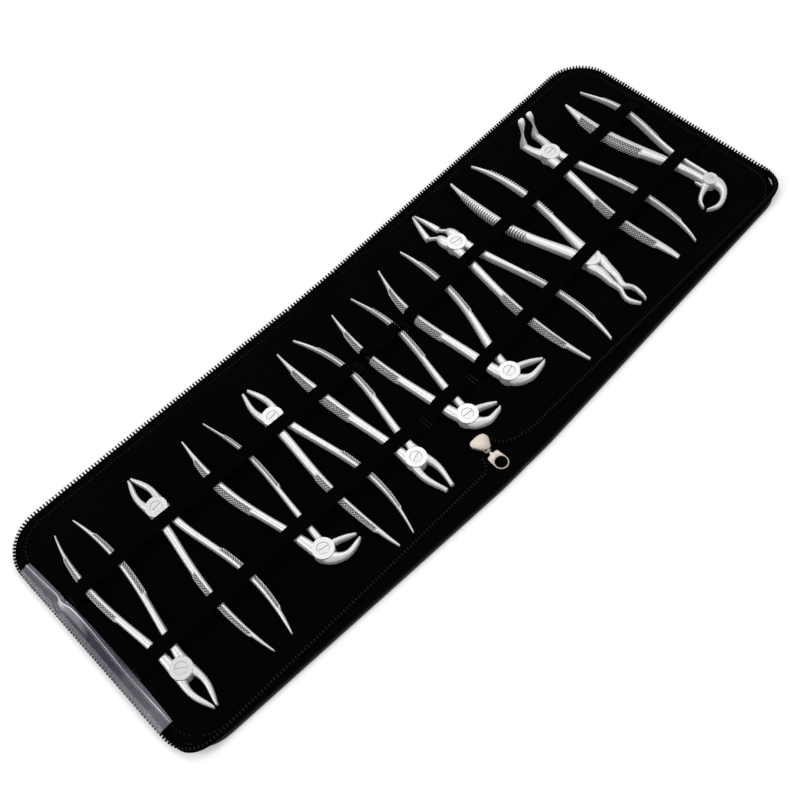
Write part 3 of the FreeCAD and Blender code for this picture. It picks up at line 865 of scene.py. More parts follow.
@dataclass
class Panel:
    """One long panel with its half of the spine: cover and lining, with extra rows across the
    fold.
    """
    plan: Plan
    side: Side
    cell: float = 4.5 * MM       # of the mesh
    tiny: float = 0.01 * MM      # points closer than this to the middle lie on it
    cover_spread: float = 5.0 * MM    # half the width of the extra rows at the cover's fold
    lining_spread: float = 1.6 * MM
    cover_edge: float = 0.6 * MM
    lining_edge: float = 1.3 * MM
    hollow: float = 0.22 * MM    # depth of the padding's soft hollows
    seam_depth: float = 0.35 * MM
    seam_width: float = 1.6 * MM

    def skin(self, inset: float, low: float, high: float, edge: float,
             swell: Callable[[float, float, float], float]) -> bmesh.types.BMesh:
        """A slab with two rounded corners and softened edges.

        Args:
            inset: how far inside the cover's edge it lies.
            low: its underside.
            high: its top.
            edge: radius of its softened edges.
            swell: height added to the top, from x, y and the distance to the border.

        Returns:
            The bmesh.
        """
        way, middle = self.side.way, self.plan.middle
        half = self.plan.half_width - inset
        length = abs(self.plan.end(self.side) - middle) - inset
        radius = self.plan.corner - inset
        across = round(2 * half / self.cell)
        along = round(length / self.cell)
        bm = bmesh.new()
        bmesh.ops.create_grid(bm, x_segments=along, y_segments=across, size=0.5)
        bmesh.ops.translate(bm, verts=bm.verts, vec=(0.5, 0, 0))
        bmesh.ops.scale(bm, verts=bm.verts, vec=(length, 2 * half, 1.0))
        for vert in bm.verts:
            a = (vert.co.x - (length - radius)) / radius
            b = (abs(vert.co.y) - (half - radius)) / radius
            if a > 0 and b > 0:
                sign = math.copysign(1.0, vert.co.y)
                vert.co.x = length - radius + radius * a * math.sqrt(1 - b * b / 2)
                vert.co.y = sign * (half - radius + radius * b * math.sqrt(1 - a * a / 2))
        rim = {v for v in bm.verts if v.is_boundary and v.co.x > self.tiny}
        for vert in bm.verts:
            border = min(half - abs(vert.co.y), length - vert.co.x)
            vert.co.x = middle + way * vert.co.x
            vert.co.z = high + (0.0 if vert in rim else swell(vert.co.x, vert.co.y, border))
            vert.co.y += self.plan.lean(vert.co.x, vert.co.y) + self.plan.centre_y
        for vert in verts_in(bmesh.ops.extrude_face_region(bm, geom=list(bm.faces))["geom"]):
            vert.co.z = low
        if edge > 0:
            outer = [e for e in sharp_edges(bm)
                     if sum(abs(v.co.x - middle) for v in e.verts) > self.tiny]
            soften(bm, outer, min(edge, (high - low) * 0.45))
        bmesh.ops.recalc_face_normals(bm, faces=bm.faces)
        return bm

    def bend(self, piece: bpy.types.Object, reach: float) -> None:
        """Bake a piece's place into its mesh; no bend is made at this panel's fold.

        Args:
            piece: the piece.
            reach: half the width of the bend; not used.
        """
        fold, way = self.plan.fold(self.side), self.side.way
        fold - way * reach
        fold + way * reach
        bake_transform(piece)

    def crease(self, bm: bmesh.types.BMesh, reach: float, rows: int = 6) -> None:
        """Cut extra rows across the fold.

        Args:
            bm: the piece's bmesh.
            reach: half the width of the band of extra rows.
            rows: strips across the bend.
        """
        fold = self.plan.fold(self.side)
        for i in range(rows + 1):
            x = fold + reach * (2 * i / rows - 1)
            geometry = list(bm.verts) + list(bm.edges) + list(bm.faces)
            bmesh.ops.bisect_plane(bm, geom=geometry, dist=MERGE, plane_co=(x, 0, 0),
                                   plane_no=(1, 0, 0))

    def build(self, leather: bpy.types.Material, velvet: bpy.types.Material) -> None:
        """Make the cover and the lining of this side.

        Args:
            leather: finish of the cover.
            velvet: finish of the lining.
        """
        name, plan = self.side.value, self.plan
        bm = self.skin(0.0, 0.0, plan.cover_top, self.cover_edge, lambda x, y, b: 0.0)
        self.crease(bm, self.cover_spread)
        cover = piece_from(bm, f"cover_skin_{name}", leather)
        self.bend(cover, self.cover_spread)
        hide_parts(f"cover_{name}", *(["cover_spine"] if self.side is Side.LEFT else []))
        bm = self.skin(LINING_INSET, plan.cover_top, plan.lining_top, self.lining_edge, self.pile)
        self.crease(bm, self.lining_spread)
        lining = piece_from(bm, f"velvet_lining_{name}", velvet, smooth_angle=60.0)
        self.bend(lining, self.lining_spread)
        spine = ["lining_spine", "board_spine"] if self.side is Side.LEFT else []
        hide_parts(f"lining_{name}", f"board_{name}", *spine)
        LOG.info("panel %s: cover and lining made", name)

    def pile(self, x: float, y: float, border: float) -> float:
        """Slight hollows of a thin padded lining, deeper near the border seam.

        Args:
            x: place along the case.
            y: place across it.
            border: distance to the lining's edge.

        Returns:
            Height added to the lining.
        """
        soft = noise.noise(Vector((x * 22, y * 22, 0.3))) - 0.6
        seam = math.exp(-((border - SEAM_INSET) / self.seam_width) ** 2)
        return self.hollow * soft - self.seam_depth * seam


# Half of a ribbon's cross-section, as shares of half its width and of its thickness.
RIBBON_TOP = ((-1.0, 0.5), (-0.97, 0.9), (-0.6, 1.0), (0.0, 1.0), (0.6, 1.0), (0.97, 0.9))


@dataclass
class Line:
    """A path of points with its running length."""
    points: list[Vector]
    marks: list[float] = field(default_factory=list)

    def __post_init__(self) -> None:
        """Measure the path once."""
        self.marks = [0.0]
        for a, b in zip(self.points, self.points[1:]):
            self.marks.append(self.marks[-1] + (b - a).length)

    @property
    def length(self) -> float:
        """Whole length."""
        return self.marks[-1]

    def at(self, distance: float) -> tuple[Vector, Vector]:
        """Place and direction at a distance along the path.

        Args:
            distance: from the path's start.

        Returns:
            The place and the direction.
        """
        d = min(max(distance, 0.0), self.length)
        i = next((k for k in range(1, len(self.marks)) if self.marks[k] >= d),
                 len(self.marks) - 1)
        a, b = self.points[i - 1], self.points[i]
        span = max(self.marks[i] - self.marks[i - 1], 1e-9)
        return a.lerp(b, (d - self.marks[i - 1]) / span), (b - a).normalized()

    def beside(self, distance: float, shift: float) -> Vector:
        """A point beside the path, to its right by shift."""
        place, along = self.at(distance)
        return place - sideways(along) * shift


def ribbon_sweep(line: Line, width: float, thick: float, step: float,
                 lift: Callable[[float, float], float] = lambda d, s: 0.0) -> bmesh.types.BMesh:
    """A flat ribbon with rounded edges along a path.

    Args:
        line: the path of the middle of its underside.
        width: across the path.
        thick: its thickness.
        step: spacing of its rings.
        lift: height added, from the distance along and the share across, -1 to 1.

    Returns:
        The bmesh.
    """
    rings = max(int(line.length / step), 2)
    shape = [*RIBBON_TOP, *((-share, 1 - height) for share, height in RIBBON_TOP)]

    def at(r: int, k: int) -> Vector:
        """Corner k of ring r.

        Args:
            r: the ring.
            k: the corner.

        Returns:
            Its place.
        """
        d = line.length * r / (rings - 1)
        place, along = line.at(d)
        before, after = line.at(d - step)[1], line.at(d + step)[1]
        along = (before + along + after).normalized()
        side = sideways(along)
        up = along.cross(side)
        share, height = shape[k]
        return place + side * (share * width / 2) + up * (height * thick + lift(d, share))

    bm = bmesh.new()
    sweep(bm, len(shape), rings, at)
    return bm


# Outline of the slider's heart, as shares of half its width and of its length.
HEART = ((-0.62, 1.02), (-0.2, 1.10), (0.25, 1.06), (0.72, 1.02), (0.98, 0.62), (0.93, 0.1),
         (0.62, -0.5), (0.24, -0.98), (-0.24, -0.98), (-0.62, -0.5), (-0.93, 0.1),
         (-0.98, 0.62), (-0.62, 1.02))


@dataclass
class Zip:
    """The open zip round the case: tape, teeth, slider and tab."""
    plan: Plan
    tape: bpy.types.Material
    teeth: bpy.types.Material
    metal: bpy.types.Material
    tape_width: float = 5.2 * MM
    tape_thick: float = 0.6 * MM
    tape_shift: float = 3.0 * MM     # from the teeth to the middle of the tape
    end_width: float = 3.6 * MM      # of the two tape ends that run up to the slider
    fold_gap: float = 0.2 * MM       # between the runs on either side of a fold
    tooth_size: tuple[float, float, float] = (1.35 * MM, 2.4 * MM, 1.7 * MM)
    tooth_edge: float = 0.22 * MM
    ripple: float = 0.08 * MM        # height of the tape's waves
    ripple_length: float = 7 * MM    # over which they pass one radian
    tape_step: float = 2.4 * MM      # spacing of the tape's rings
    heart_turn: float = -121.5       # degrees, from point towards the tab
    heart_length: float = 6.5 * MM
    # lower plate, post and upper plate: share of the heart, underside, top and edge radius
    heart_plates: tuple[tuple[float, float, float, float], ...] = (
        (1.0, 0.0, 0.9 * MM, 0.25 * MM), (0.55, 0.8 * MM, 2.1 * MM, 0.1 * MM),
        (1.08, 2.0 * MM, 3.2 * MM, 0.5 * MM))
    tab_thick: float = 1.2 * MM
    tab_ring: float = 0.95 * MM      # width of the tab's metal round its hole
    axis_inset: float = 1.5 * MM     # of the tab's axis, from its box's far side and underside

    def round_panel(self, side: Side) -> Line:
        """Path of the teeth: the far side, the end, then turned in on the near side.

        Args:
            side: the panel.

        Returns:
            The path.
        """
        p, fold = self.plan, self.plan.fold(side) + side.way * self.fold_gap
        low, top, steps = p.cover_top, p.lining_top, 16
        outer = p.corner + TAPE_REACH
        points = [Vector((fold, p.half_width + TAPE_REACH - FAR_DIP + p.centre_y, low))]
        for i in range(steps + 1):
            turn = math.pi / 2 * (1 - i / steps)
            points.append(p.corner_point(side, True, outer, turn, low))
        for i in range(steps + 1):
            f = i / steps
            radius = outer - (TAPE_REACH + NEAR_TAPE_INSET) * smooth_step(0.3, 1.0, f)
            height = low + (top - low) * smooth_step(0.0, 0.55, f)
            points.append(p.corner_point(side, False, radius, math.pi / 2 * f, height))
        points.append(Vector((fold, p.centre_y - p.half_width + NEAR_TAPE_INSET, top)))
        return self.fine(points)

    def fine(self, points: Sequence[Vector], longest: float = 6 * MM) -> Line:
        """The same path with a point at least every few millimetres.

        Args:
            points: the path's corners.
            longest: the longest step.

        Returns:
            The path.
        """
        out = [points[0]]
        for a, b in zip(points, points[1:]):
            parts = max(int((b - a).length / longest), 1)
            out += [a.lerp(b, i / parts) for i in range(1, parts + 1)]
        return Line(out)

    def stubs(self) -> dict[str, Line]:
        """Paths on the spine: far side, and the two near ends that run up to the slider.

        Returns:
            The path of each run, by name.
        """
        p = self.plan
        lo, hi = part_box("zip_slider")
        x, y = (lo.x + hi.x) / 2, (lo.y + hi.y) / 2
        near = p.centre_y - p.half_width + NEAR_TAPE_INSET
        side_x = x + (hi.x - lo.x) / 2 + 2.2 * MM
        ends = {"near_left": [(p.left_fold, near), (x - 10.5 * MM, near + 3.2 * MM),
                              (x - 8.6 * MM, near + 6.8 * MM), (x - 7.6 * MM, near + 10.5 * MM)],
                "near_right": [(p.right_fold, near), (side_x + 20 * MM, near + 1.2 * MM),
                               (side_x + 8 * MM, near + 5.5 * MM),
                               (side_x + 1.5 * MM, near + 11 * MM), (side_x, y + 2 * MM)]}
        far = p.centre_y + p.half_width - FAR_DIP + TAPE_REACH
        lines = {"far": self.fine([Vector((p.left_fold + self.fold_gap, far, p.cover_top)),
                                   Vector((p.right_fold - self.fold_gap, far, p.cover_top))])}
        fine = 8
        for name, rows in ends.items():
            lines[name] = Line([Vector((*through(rows, i / fine), p.lining_top))
                                for i in range(fine * (len(rows) - 1) + 1)])
        return lines

    def tooth(self, bm: bmesh.types.BMesh, place: Vector, along: Vector) -> None:
        """One moulded tooth: a small block across the path with softened edges.

        Args:
            bm: the bmesh to add it to.
            place: middle of its foot.
            along: direction of the path.
        """
        size = self.tooth_size
        side = sideways(along)
        turn = Matrix((along, side, along.cross(side))).transposed()
        made = bmesh.ops.create_cube(bm, size=1.0)["verts"]
        edges = {e for v in made for e in v.link_edges}
        for vert in made:
            x, y, z = (vert.co[i] * size[i] for i in range(3))
            taper = 0.8 if z > 0 else 1.0
            lift = size[2] / 2 + self.tape_thick * 0.9
            vert.co = place + turn @ Vector((x * taper, y * taper, z + lift))
        middle = 2 * place.z + size[2]
        upper = [e for e in edges if e.verts[0].co.z + e.verts[1].co.z > middle]
        soften(bm, upper, self.tooth_edge, 1)

    def run(self, line: Line, name: str, body: str, width: float,
            inner: float) -> list[bpy.types.Object]:
        """Tape and teeth along one path, riding on one body.

        Args:
            line: the path of the teeth.
            name: the run's name.
            body: the body that it rides on.
            width: of the tape.
            inner: how far the tape's middle lies inside the teeth, outside the case.

        Returns:
            The tape and the teeth.
        """
        middle = Line([line.beside(d, inner * self.outside(line.at(d)[0].z))
                       for d in line.marks])
        wave = lambda d, s: self.ripple * math.sin(d / self.ripple_length)
        tape = piece_from(ribbon_sweep(middle, width, self.tape_thick, self.tape_step, wave),
                          f"tape_{name}", self.tape)
        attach(tape, body)
        bm = bmesh.new()
        count = int(line.length / TOOTH_PITCH)
        for i in range(count):
            self.tooth(bm, *line.at((i + 0.5) * line.length / count))
        bmesh.ops.recalc_face_normals(bm, faces=bm.faces)
        teeth = piece_from(bm, f"teeth_{name}", self.teeth)
        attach(teeth, body)
        LOG.info("zip run %s: %d teeth", name, count)
        return [tape, teeth]

    def outside(self, z: float) -> float:
        """1 where the zip runs outside the case, 0 where it is turned in on the lining."""
        return 1 - smooth_step(self.plan.cover_top, self.plan.lining_top, z)

    def build(self) -> None:
        """Make every run of the zip, and dress the slider and its tab."""
        for side in Side:
            tape, teeth = self.run(self.round_panel(side), side.value, f"panel_{side.value}",
                                   self.tape_width, side.way * self.tape_shift)
            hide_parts(f"zip_tape_{side.value}")
            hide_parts(f"zip_chain_{side.value}")
        for name, line in self.stubs().items():
            width, inner = ((self.tape_width, self.tape_shift) if name == "far"
                            else (self.end_width, 0.0))
            tape, teeth = self.run(line, f"spine_{name}", "spine", width, inner)
            if name == "far":
                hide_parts("zip_tape_spine")
                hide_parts("zip_chain_spine")
        self.slider()
        self.tab()

    def tab_axis(self) -> tuple[float, float]:
        """Y and Z of the axis that the tab swings on."""
        lo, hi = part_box("zip_pull_tab")
        return hi.y - self.axis_inset, lo.z + self.axis_inset

    def slider(self) -> None:
        """Two heart-shaped plates on a post, with a bridge for the tab."""
        lo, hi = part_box("zip_slider")
        x, half = (lo.x + hi.x) / 2, (hi.x - lo.x) / 2
        length = self.heart_length
        y, low = hi.y - 0.6 * MM - length, lo.z
        fine = 5
        heart = [through(HEART, i / fine) for i in range(fine * (len(HEART) - 1))]
        spin = Matrix.Rotation(math.radians(self.heart_turn), 2)

        def shaped(share: float) -> list[tuple[float, float]]:
            """The heart's outline, scaled and turned."""
            places = [spin @ Vector((half * u, length * v)) for u, v in heart]
            return [(x + share * place.x, y + share * place.y) for place in places]

        axis_y, axis_z = self.tab_axis()
        reach, sink, steps = 2.0 * MM, 0.9 * MM, 16      # the bridge's half span and its feet
        arch = []
        for i in range(steps + 1):
            turn = math.pi * i / steps
            arch.append(Vector((x - reach * math.cos(turn), axis_y,
                                axis_z - sink + 1.6 * MM * math.sin(turn) ** 0.6)))
        feet = [round_bar([Vector((x + way * reach, axis_y, axis_z - sink)),
                           Vector((x + way * reach, axis_y + 1.2 * MM, axis_z - sink)),
                           Vector((x + way * 1.4 * MM, y - length * 0.7, low + 1.2 * MM))],
                          0.55 * MM) for way in (-1, 1)]
        plates = [plate(shaped(share), low + under, low + top, edge)
                  for share, under, top, edge in self.heart_plates]
        bm = joined([*plates, round_bar(arch, 0.6 * MM), *feet])
        made = piece_from(bm, "heart_slider", self.metal, smooth_angle=40.0)
        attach(made, "zip_slider")
        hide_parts("zip_slider")

    def tab(self) -> None:
        """The pull tab: a ring at its end, a narrowing neck, and an eye on the bridge."""
        lo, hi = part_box("zip_pull_tab")
        x, half = (lo.x + hi.x) / 2, (hi.x - lo.x) / 2
        axis_y, axis_z = self.tab_axis()
        ring_y = lo.y + half
        neck = [(-1.0 * MM, axis_y - 1.2 * MM), (-1.2 * MM, axis_y - 3.0 * MM),
                (-half * 0.80, axis_y - 3.3 * MM), (-half * 0.94, axis_y - 4.8 * MM)]
        outline = [(x + u, v) for u, v in neck]
        start, sweep_angle, steps = 184, 172, 28         # degrees of the ring's round part
        for i in range(steps + 1):
            turn = math.radians(start + sweep_angle * i / steps)
            outline.append((x + half * math.cos(turn), ring_y + half * math.sin(turn)))
        outline += [(x - u, v) for u, v in reversed(neck)]
        eye_bar = bmesh.new()
        rings, corners = 25, 8

        def at(r: int, k: int) -> Vector:
            """Corner k of ring r of the eye round the bridge.

            Args:
                r: the ring.
                k: the corner.

            Returns:
                Its place.
            """
            turn, way = 2 * math.pi * r / (rings - 1), 2 * math.pi * k / corners
            out = Vector((0, math.cos(turn), math.sin(turn)))
            return (Vector((x, axis_y, axis_z)) + out * (1.1 + 0.36 * math.cos(way)) * MM
                    + Vector((0.8 * MM * math.sin(way), 0, 0)))

        sweep(eye_bar, corners, rings, at)
        bm = joined([plate(outline, lo.z, lo.z + self.tab_thick, 0.3 * MM,
                           (x, ring_y, half - self.tab_ring)), eye_bar])
        made = piece_from(bm, "ring_pull_tab", self.metal, smooth_angle=40.0)
        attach(made, "zip_pull_tab")
        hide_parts("zip_pull_tab")


def dress(node: str, finish: bpy.types.Material) -> bpy.types.Object:
    """Give a kept CAD node a better finish.

    Args:
        node: the node's name.
        finish: the material for all its slots.

    Returns:
        The node's object.
    """
    kept = bpy.data.objects[node]
    for slot in kept.material_slots:
        slot.material = finish
    return kept


# ------------------------------------------------------------------ straps

@dataclass
class Strap:
    """An elastic strap pulled taut over the instruments and sewn down at both ends."""
    node: str
    body: str
    finish: bpy.types.Material
    thread: bpy.types.Material
    thick: float = 0.8 * MM
    gap: float = 0.12 * MM       # over the steel
    rest: float = 0.05 * MM      # over the lining
    probe: float = 1.5 * MM      # spacing of the places where the steel is felt for
    step: float = 1.4 * MM       # spacing of the strap's own rings
    curl: float = 0.12 * MM      # rise of its edges
    curl_length: float = 11 * MM     # over which the curl passes one radian
    sewn: float = 1.8 * MM       # lies flat this far from each end
    sewn_short: float = 1.2 * MM     # the same on a strap shorter than short_run
    short_run: float = 0.1

    def slope_line(self) -> tuple[Vector, Vector]:
        """Middle of both ends of the strap's top view, read from its CAD solid.

        Returns:
            Left end and right end, at no height.
        """
        mesh = bpy.data.objects[self.node].data
        xs = sorted(v.co.x for v in mesh.vertices)
        ends = []
        for x in (xs[0], xs[-1]):
            near = [v.co for v in mesh.vertices if abs(v.co.x - x) < self.step]
            ends.append(Vector((x, (min(c.y for c in near) + max(c.y for c in near)) / 2, 0)))
        return ends[0], ends[1]

    def obstacles(self, a: Vector, b: Vector, width: float, floor: float,
                  steel: Sequence[bpy.types.Object]) -> list[tuple[float, float]]:
        """Heights that the strap has to clear, at even steps from a to b.

        Args:
            a: one end of the strap's middle line.
            b: its other end.
            width: of the strap.
            floor: height of its underside where nothing lies below it.
            steel: the pieces that it may cross.

        Returns:
            Distance along and height, for each step.
        """
        count = int((b - a).length / self.probe)
        side = UP.cross((b - a).normalized())
        sky = 0.08                   # a height over everything
        out = []
        for i in range(count + 1):
            place = a.lerp(b, i / count)
            high = floor
            for share in (-0.5, -0.25, 0, 0.25, 0.5):
                spot = place + side * (share * width)
                for piece in steel:
                    hit, where, _, _ = piece.ray_cast(Vector((spot.x, spot.y, sky)), -UP)
                    if hit:
                        high = max(high, where.z + self.gap)
            out.append(((b - a).length * i / count, high))
        return out

    @staticmethod
    def taut(points: Sequence[tuple[float, float]]) -> list[tuple[float, float]]:
        """The line of a string pulled tight over the points: their upper hull.

        Args:
            points: distance along and height of each.

        Returns:
            The points that the string touches.
        """
        hull: list[tuple[float, float]] = []
        for p in points:
            while len(hull) > 1:
                (x0, z0), (x1, z1) = hull[-2], hull[-1]
                if (z1 - z0) * (p[0] - x0) <= (p[1] - z0) * (x1 - x0):
                    hull.pop()
                else:
                    break
            hull.append(p)
        return hull

    def build(self, steel: Sequence[bpy.types.Object], lining_top: float) -> None:
        """Make the strap and the stitches at both of its ends.

        Args:
            steel: every piece that a strap may cross.
            lining_top: height of the lining.
        """
        lo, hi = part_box(self.node)
        a, b = self.slope_line()
        width = (hi.y - lo.y) - abs(b.y - a.y)
        run = (b - a).length
        floor = lining_top + self.rest
        close = [piece for piece in steel if self.crosses(piece, lo, hi)]
        sewn = self.sewn if run > self.short_run else self.sewn_short
        points = self.taut([(d, z if sewn < d < run - sewn else floor) for d, z
                            in self.obstacles(a, b, width, floor, close)
                            if sewn <= d <= run - sewn])
        hull = [(0.0, floor), (sewn, floor), *(p for p in points if sewn < p[0] < run - sewn),
                (run - sewn, floor), (run, floor)]
        count = int(run / self.step)
        heights = [self.level(hull, run * i / count) for i in range(count + 1)]
        for _ in range(2):
            inner = [max(h, (before + after) / 2) for before, h, after
                     in zip(heights, heights[1:], heights[2:])]
            heights = [heights[0], *inner, heights[-1]]
        along = (b - a).normalized()
        line = Line([a + along * (run * i / count) + UP * height
                     for i, height in enumerate(heights)])
        curl = lambda d, s: self.curl * abs(s) ** 3 * math.sin(d / self.curl_length)
        strap = piece_from(ribbon_sweep(line, width, self.thick, self.step, curl),
                           f"elastic_{self.node[6:]}", self.finish)
        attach(strap, self.body)
        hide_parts(self.node)
        self.sew(line, width)
        LOG.info("%s: taut over %d pieces of steel", strap.name, len(close))

    @staticmethod
    def crosses(piece: bpy.types.Object, lo: Vector, hi: Vector) -> bool:
        """Whether a steel piece's box meets the strap's box from above.

        Args:
            piece: the steel piece.
            lo: low corner of the strap's box.
            hi: its high corner.

        Returns:
            Whether they overlap in the top view.
        """
        corners = [Vector(c) for c in piece.bound_box]
        low = Vector(map(min, *corners))
        high = Vector(map(max, *corners))
        return low.x < hi.x and high.x > lo.x and low.y < hi.y and high.y > lo.y

    @staticmethod
    def level(hull: Sequence[tuple[float, float]], distance: float) -> float:
        """Height of the hull at a distance along.

        Args:
            hull: distance along and height of its corners.
            distance: along the strap.

        Returns:
            The height.
        """
        for (d0, z0), (d1, z1) in zip(hull, hull[1:]):
            if distance <= d1:
                return z0 + (z1 - z0) * (distance - d0) / max(d1 - d0, 1e-9)
        return hull[-1][1]

    def sew(self, line: Line, width: float) -> None:
        """A short row of stitches across each end.

        Args:
            line: the strap's path.
            width: the strap's width.
        """
        inset, stitches, length = 0.9 * MM, 5, 1.6 * MM
        bm = bmesh.new()
        for end in (inset, line.length - inset):
            place, along = line.at(end)
            side = sideways(along)
            for i in range(stitches):
                spot = place + side * width * (i - stitches // 2) / 5.4
                stitch(bm, spot + UP * self.thick, side, length)
        bmesh.ops.recalc_face_normals(bm, faces=bm.faces)
        thread = piece_from(bm, f"strap_stitches_{self.node[6:]}", self.thread)
        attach(thread, self.body)


# One stitch from end to end: its rings' places as shares of its length, and their rise as
# shares of the thread's radius.
STITCH = ((-0.5, -1.0), (-0.3, 0.45), (0.0, 0.8), (0.3, 0.45), (0.5, -1.0))
THREAD_RADIUS = 0.22 * MM


def stitch(bm: bmesh.types.BMesh, place: Vector, along: Vector, length: float,
           corners: int = 6) -> None:
    """One stitch: a short thread that dips into the cloth at both ends.

    Args:
        bm: the bmesh to add it to.
        place: its middle.
        along: its direction.
        length: its length.
        corners: round the thread.
    """
    side = sideways(along)
    fresh = bmesh.new()

    def at(r: int, k: int) -> Vector:
        """Corner k of ring r.

        Args:
            r: the ring.
            k: the corner.

        Returns:
            Its place.
        """
        turn = 2 * math.pi * k / corners
        share, rise = STITCH[r]
        return (place + along * (share * length)
                + (side * math.cos(turn) + UP * (rise + math.sin(turn))) * THREAD_RADIUS)

    sweep(fresh, corners, len(STITCH), at)
    mesh = bpy.data.meshes.new("stitch")
    fresh.to_mesh(mesh)
    fresh.free()
    bm.from_mesh(mesh)
    bpy.data.meshes.remove(mesh)


@dataclass
class Seam:
    """The line of stitches round the lining, a little inside its edge."""
    plan: Plan
    finish: bpy.types.Material
    pitch: float = 3.4 * MM
    length: float = 2.2 * MM     # of one stitch
    sink: float = 0.42 * MM      # of the thread into the padding

    def path(self, side: Side) -> Line:
        """Round one panel, from its fold round the end and back.

        Args:
            side: the panel.

        Returns:
            The path.
        """
        p, steps = self.plan, 12
        z = p.lining_top - self.sink
        radius = p.corner - SEAM_INSET
        points = [Vector((p.fold(side) + side.way * 2.0 * MM,
                          p.centre_y + p.half_width - SEAM_INSET - FAR_DIP, z))]
        points += [p.corner_point(side, True, radius, math.pi / 2 * (1 - i / steps), z)
                   for i in range(steps + 1)]
        points += [p.corner_point(side, False, radius, math.pi / 2 * i / steps, z)
                   for i in range(steps + 1)]
        return Line(points)

    def build(self) -> None:
        """Sew both panels."""
        for side in Side:
            line = self.path(side)
            bm = bmesh.new()
            count = int(line.length / self.pitch)
            for i in range(count):
                stitch(bm, *line.at((i + 0.5) * self.pitch), self.length)
            bmesh.ops.recalc_face_normals(bm, faces=bm.faces)
            sewn = piece_from(bm, f"border_stitches_{side.value}", self.finish)
            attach(sewn, f"panel_{side.value}")
            LOG.info("%s: %d stitches", sewn.name, count)


@dataclass
class FilmStrip:
    """The clear strip along the left end, crumpled where it has been bent."""
    finish: bpy.types.Material
    overhang: float = 5.2 * MM   # out over the teeth, beyond its CAD solid
    bend_share: float = 0.74     # place of the sharp bend along it
    bend_reach: float = 5 * MM
    thick: float = 0.12 * MM
    mesh: tuple[int, int] = (44, 300)

    def build(self) -> None:
        """Make the strip over its CAD solid and down over the teeth outside it."""
        lo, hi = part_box("clear_strip")
        left, length = lo.x - self.overhang, hi.y - lo.y
        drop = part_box("zip_chain_left")[0].z + 2.4 * MM - lo.z
        bend = lo.y + length * self.bend_share
        bm = bmesh.new()
        # painted highlight, stored on the strip for the film's finish
        wear_and_painted_light = bm.verts.layers.float.new("wear_and_painted_light")
        bmesh.ops.create_grid(bm, x_segments=self.mesh[0], y_segments=self.mesh[1], size=0.5)
        for vert in bm.verts:
            u, v = vert.co.x + 0.5, vert.co.y + 0.5
            y = lo.y + length * v
            fold = math.exp(-((y - bend) / self.bend_reach) ** 2)
            crumple = abs(noise.noise(Vector((u * 2.4, y * 150, 1.7))))
            soft = noise.noise(Vector((u * 0.9, y * 30, 4.1))) + 0.5
            # a long ridge runs beside the right edge and wanders a little
            edge = 0.80 + 0.07 * math.sin(y * 55) - 0.12 * fold
            ridge = math.exp(-((u - edge) / 0.07) ** 2) * (0.8 + 0.8 * soft)
            rise = 0.25 + 0.35 * soft + ridge + fold * (0.5 + 2.0 * crumple)
            pull = 0.9 * MM * fold * (u - 0.3)
            # painted highlight, white on the ridge, in smears, and at the bend where it is
            # creased
            line = math.exp(-((u - edge) / 0.045) ** 2) * (0.25 + 0.75 * soft)
            smear = smooth_step(0.55, 1.1, soft) * smooth_step(0.35, 0.6, u) * 0.3
            vert[wear_and_painted_light] = line + smear + 0.5 * fold * crumple
            # narrower towards both ends, and down over the teeth on the left
            reach = 1.0 - 0.72 * (v - 0.4) ** 2
            vert.co = Vector((left + (hi.x - left) * reach * u - pull, y + 0.4 * MM * crumple,
                              lo.z + drop * (1 - smooth_step(0.0, 0.42, u))
                              + rise * smooth_step(0.0, 0.35, u) * MM + 0.1 * MM))
        bmesh.ops.recalc_face_normals(bm, faces=bm.faces)
        bm.faces.ensure_lookup_table()
        if bm.faces[0].normal.z < 0:
            bmesh.ops.reverse_faces(bm, faces=bm.faces)
        bmesh.ops.solidify(bm, geom=bm.faces, thickness=self.thick)
        film = piece_from(bm, "clear_film_strip", self.finish, smooth_angle=50.0)
        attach(film, "panel_left")
        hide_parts("clear_strip")
        LOG.info("clear strip made")


# ------------------------------------------------------------------ the forceps

class Grip(Enum):
    """How a handle's grip is cut."""
    DIAMONDS = "diamonds"
    RIDGES = "ridges"

    @property
    def stretch(self) -> tuple[float, float]:
        """Where the grip starts and stops, as shares of the handle's length."""
        return (0.41, 0.87) if self is Grip.DIAMONDS else (0.36, 0.90)

    def peak(self, row: int, column: int) -> bool:
        """Whether a corner of the cut stands up."""
        return (row + column if self is Grip.DIAMONDS else row) % 2 == 0


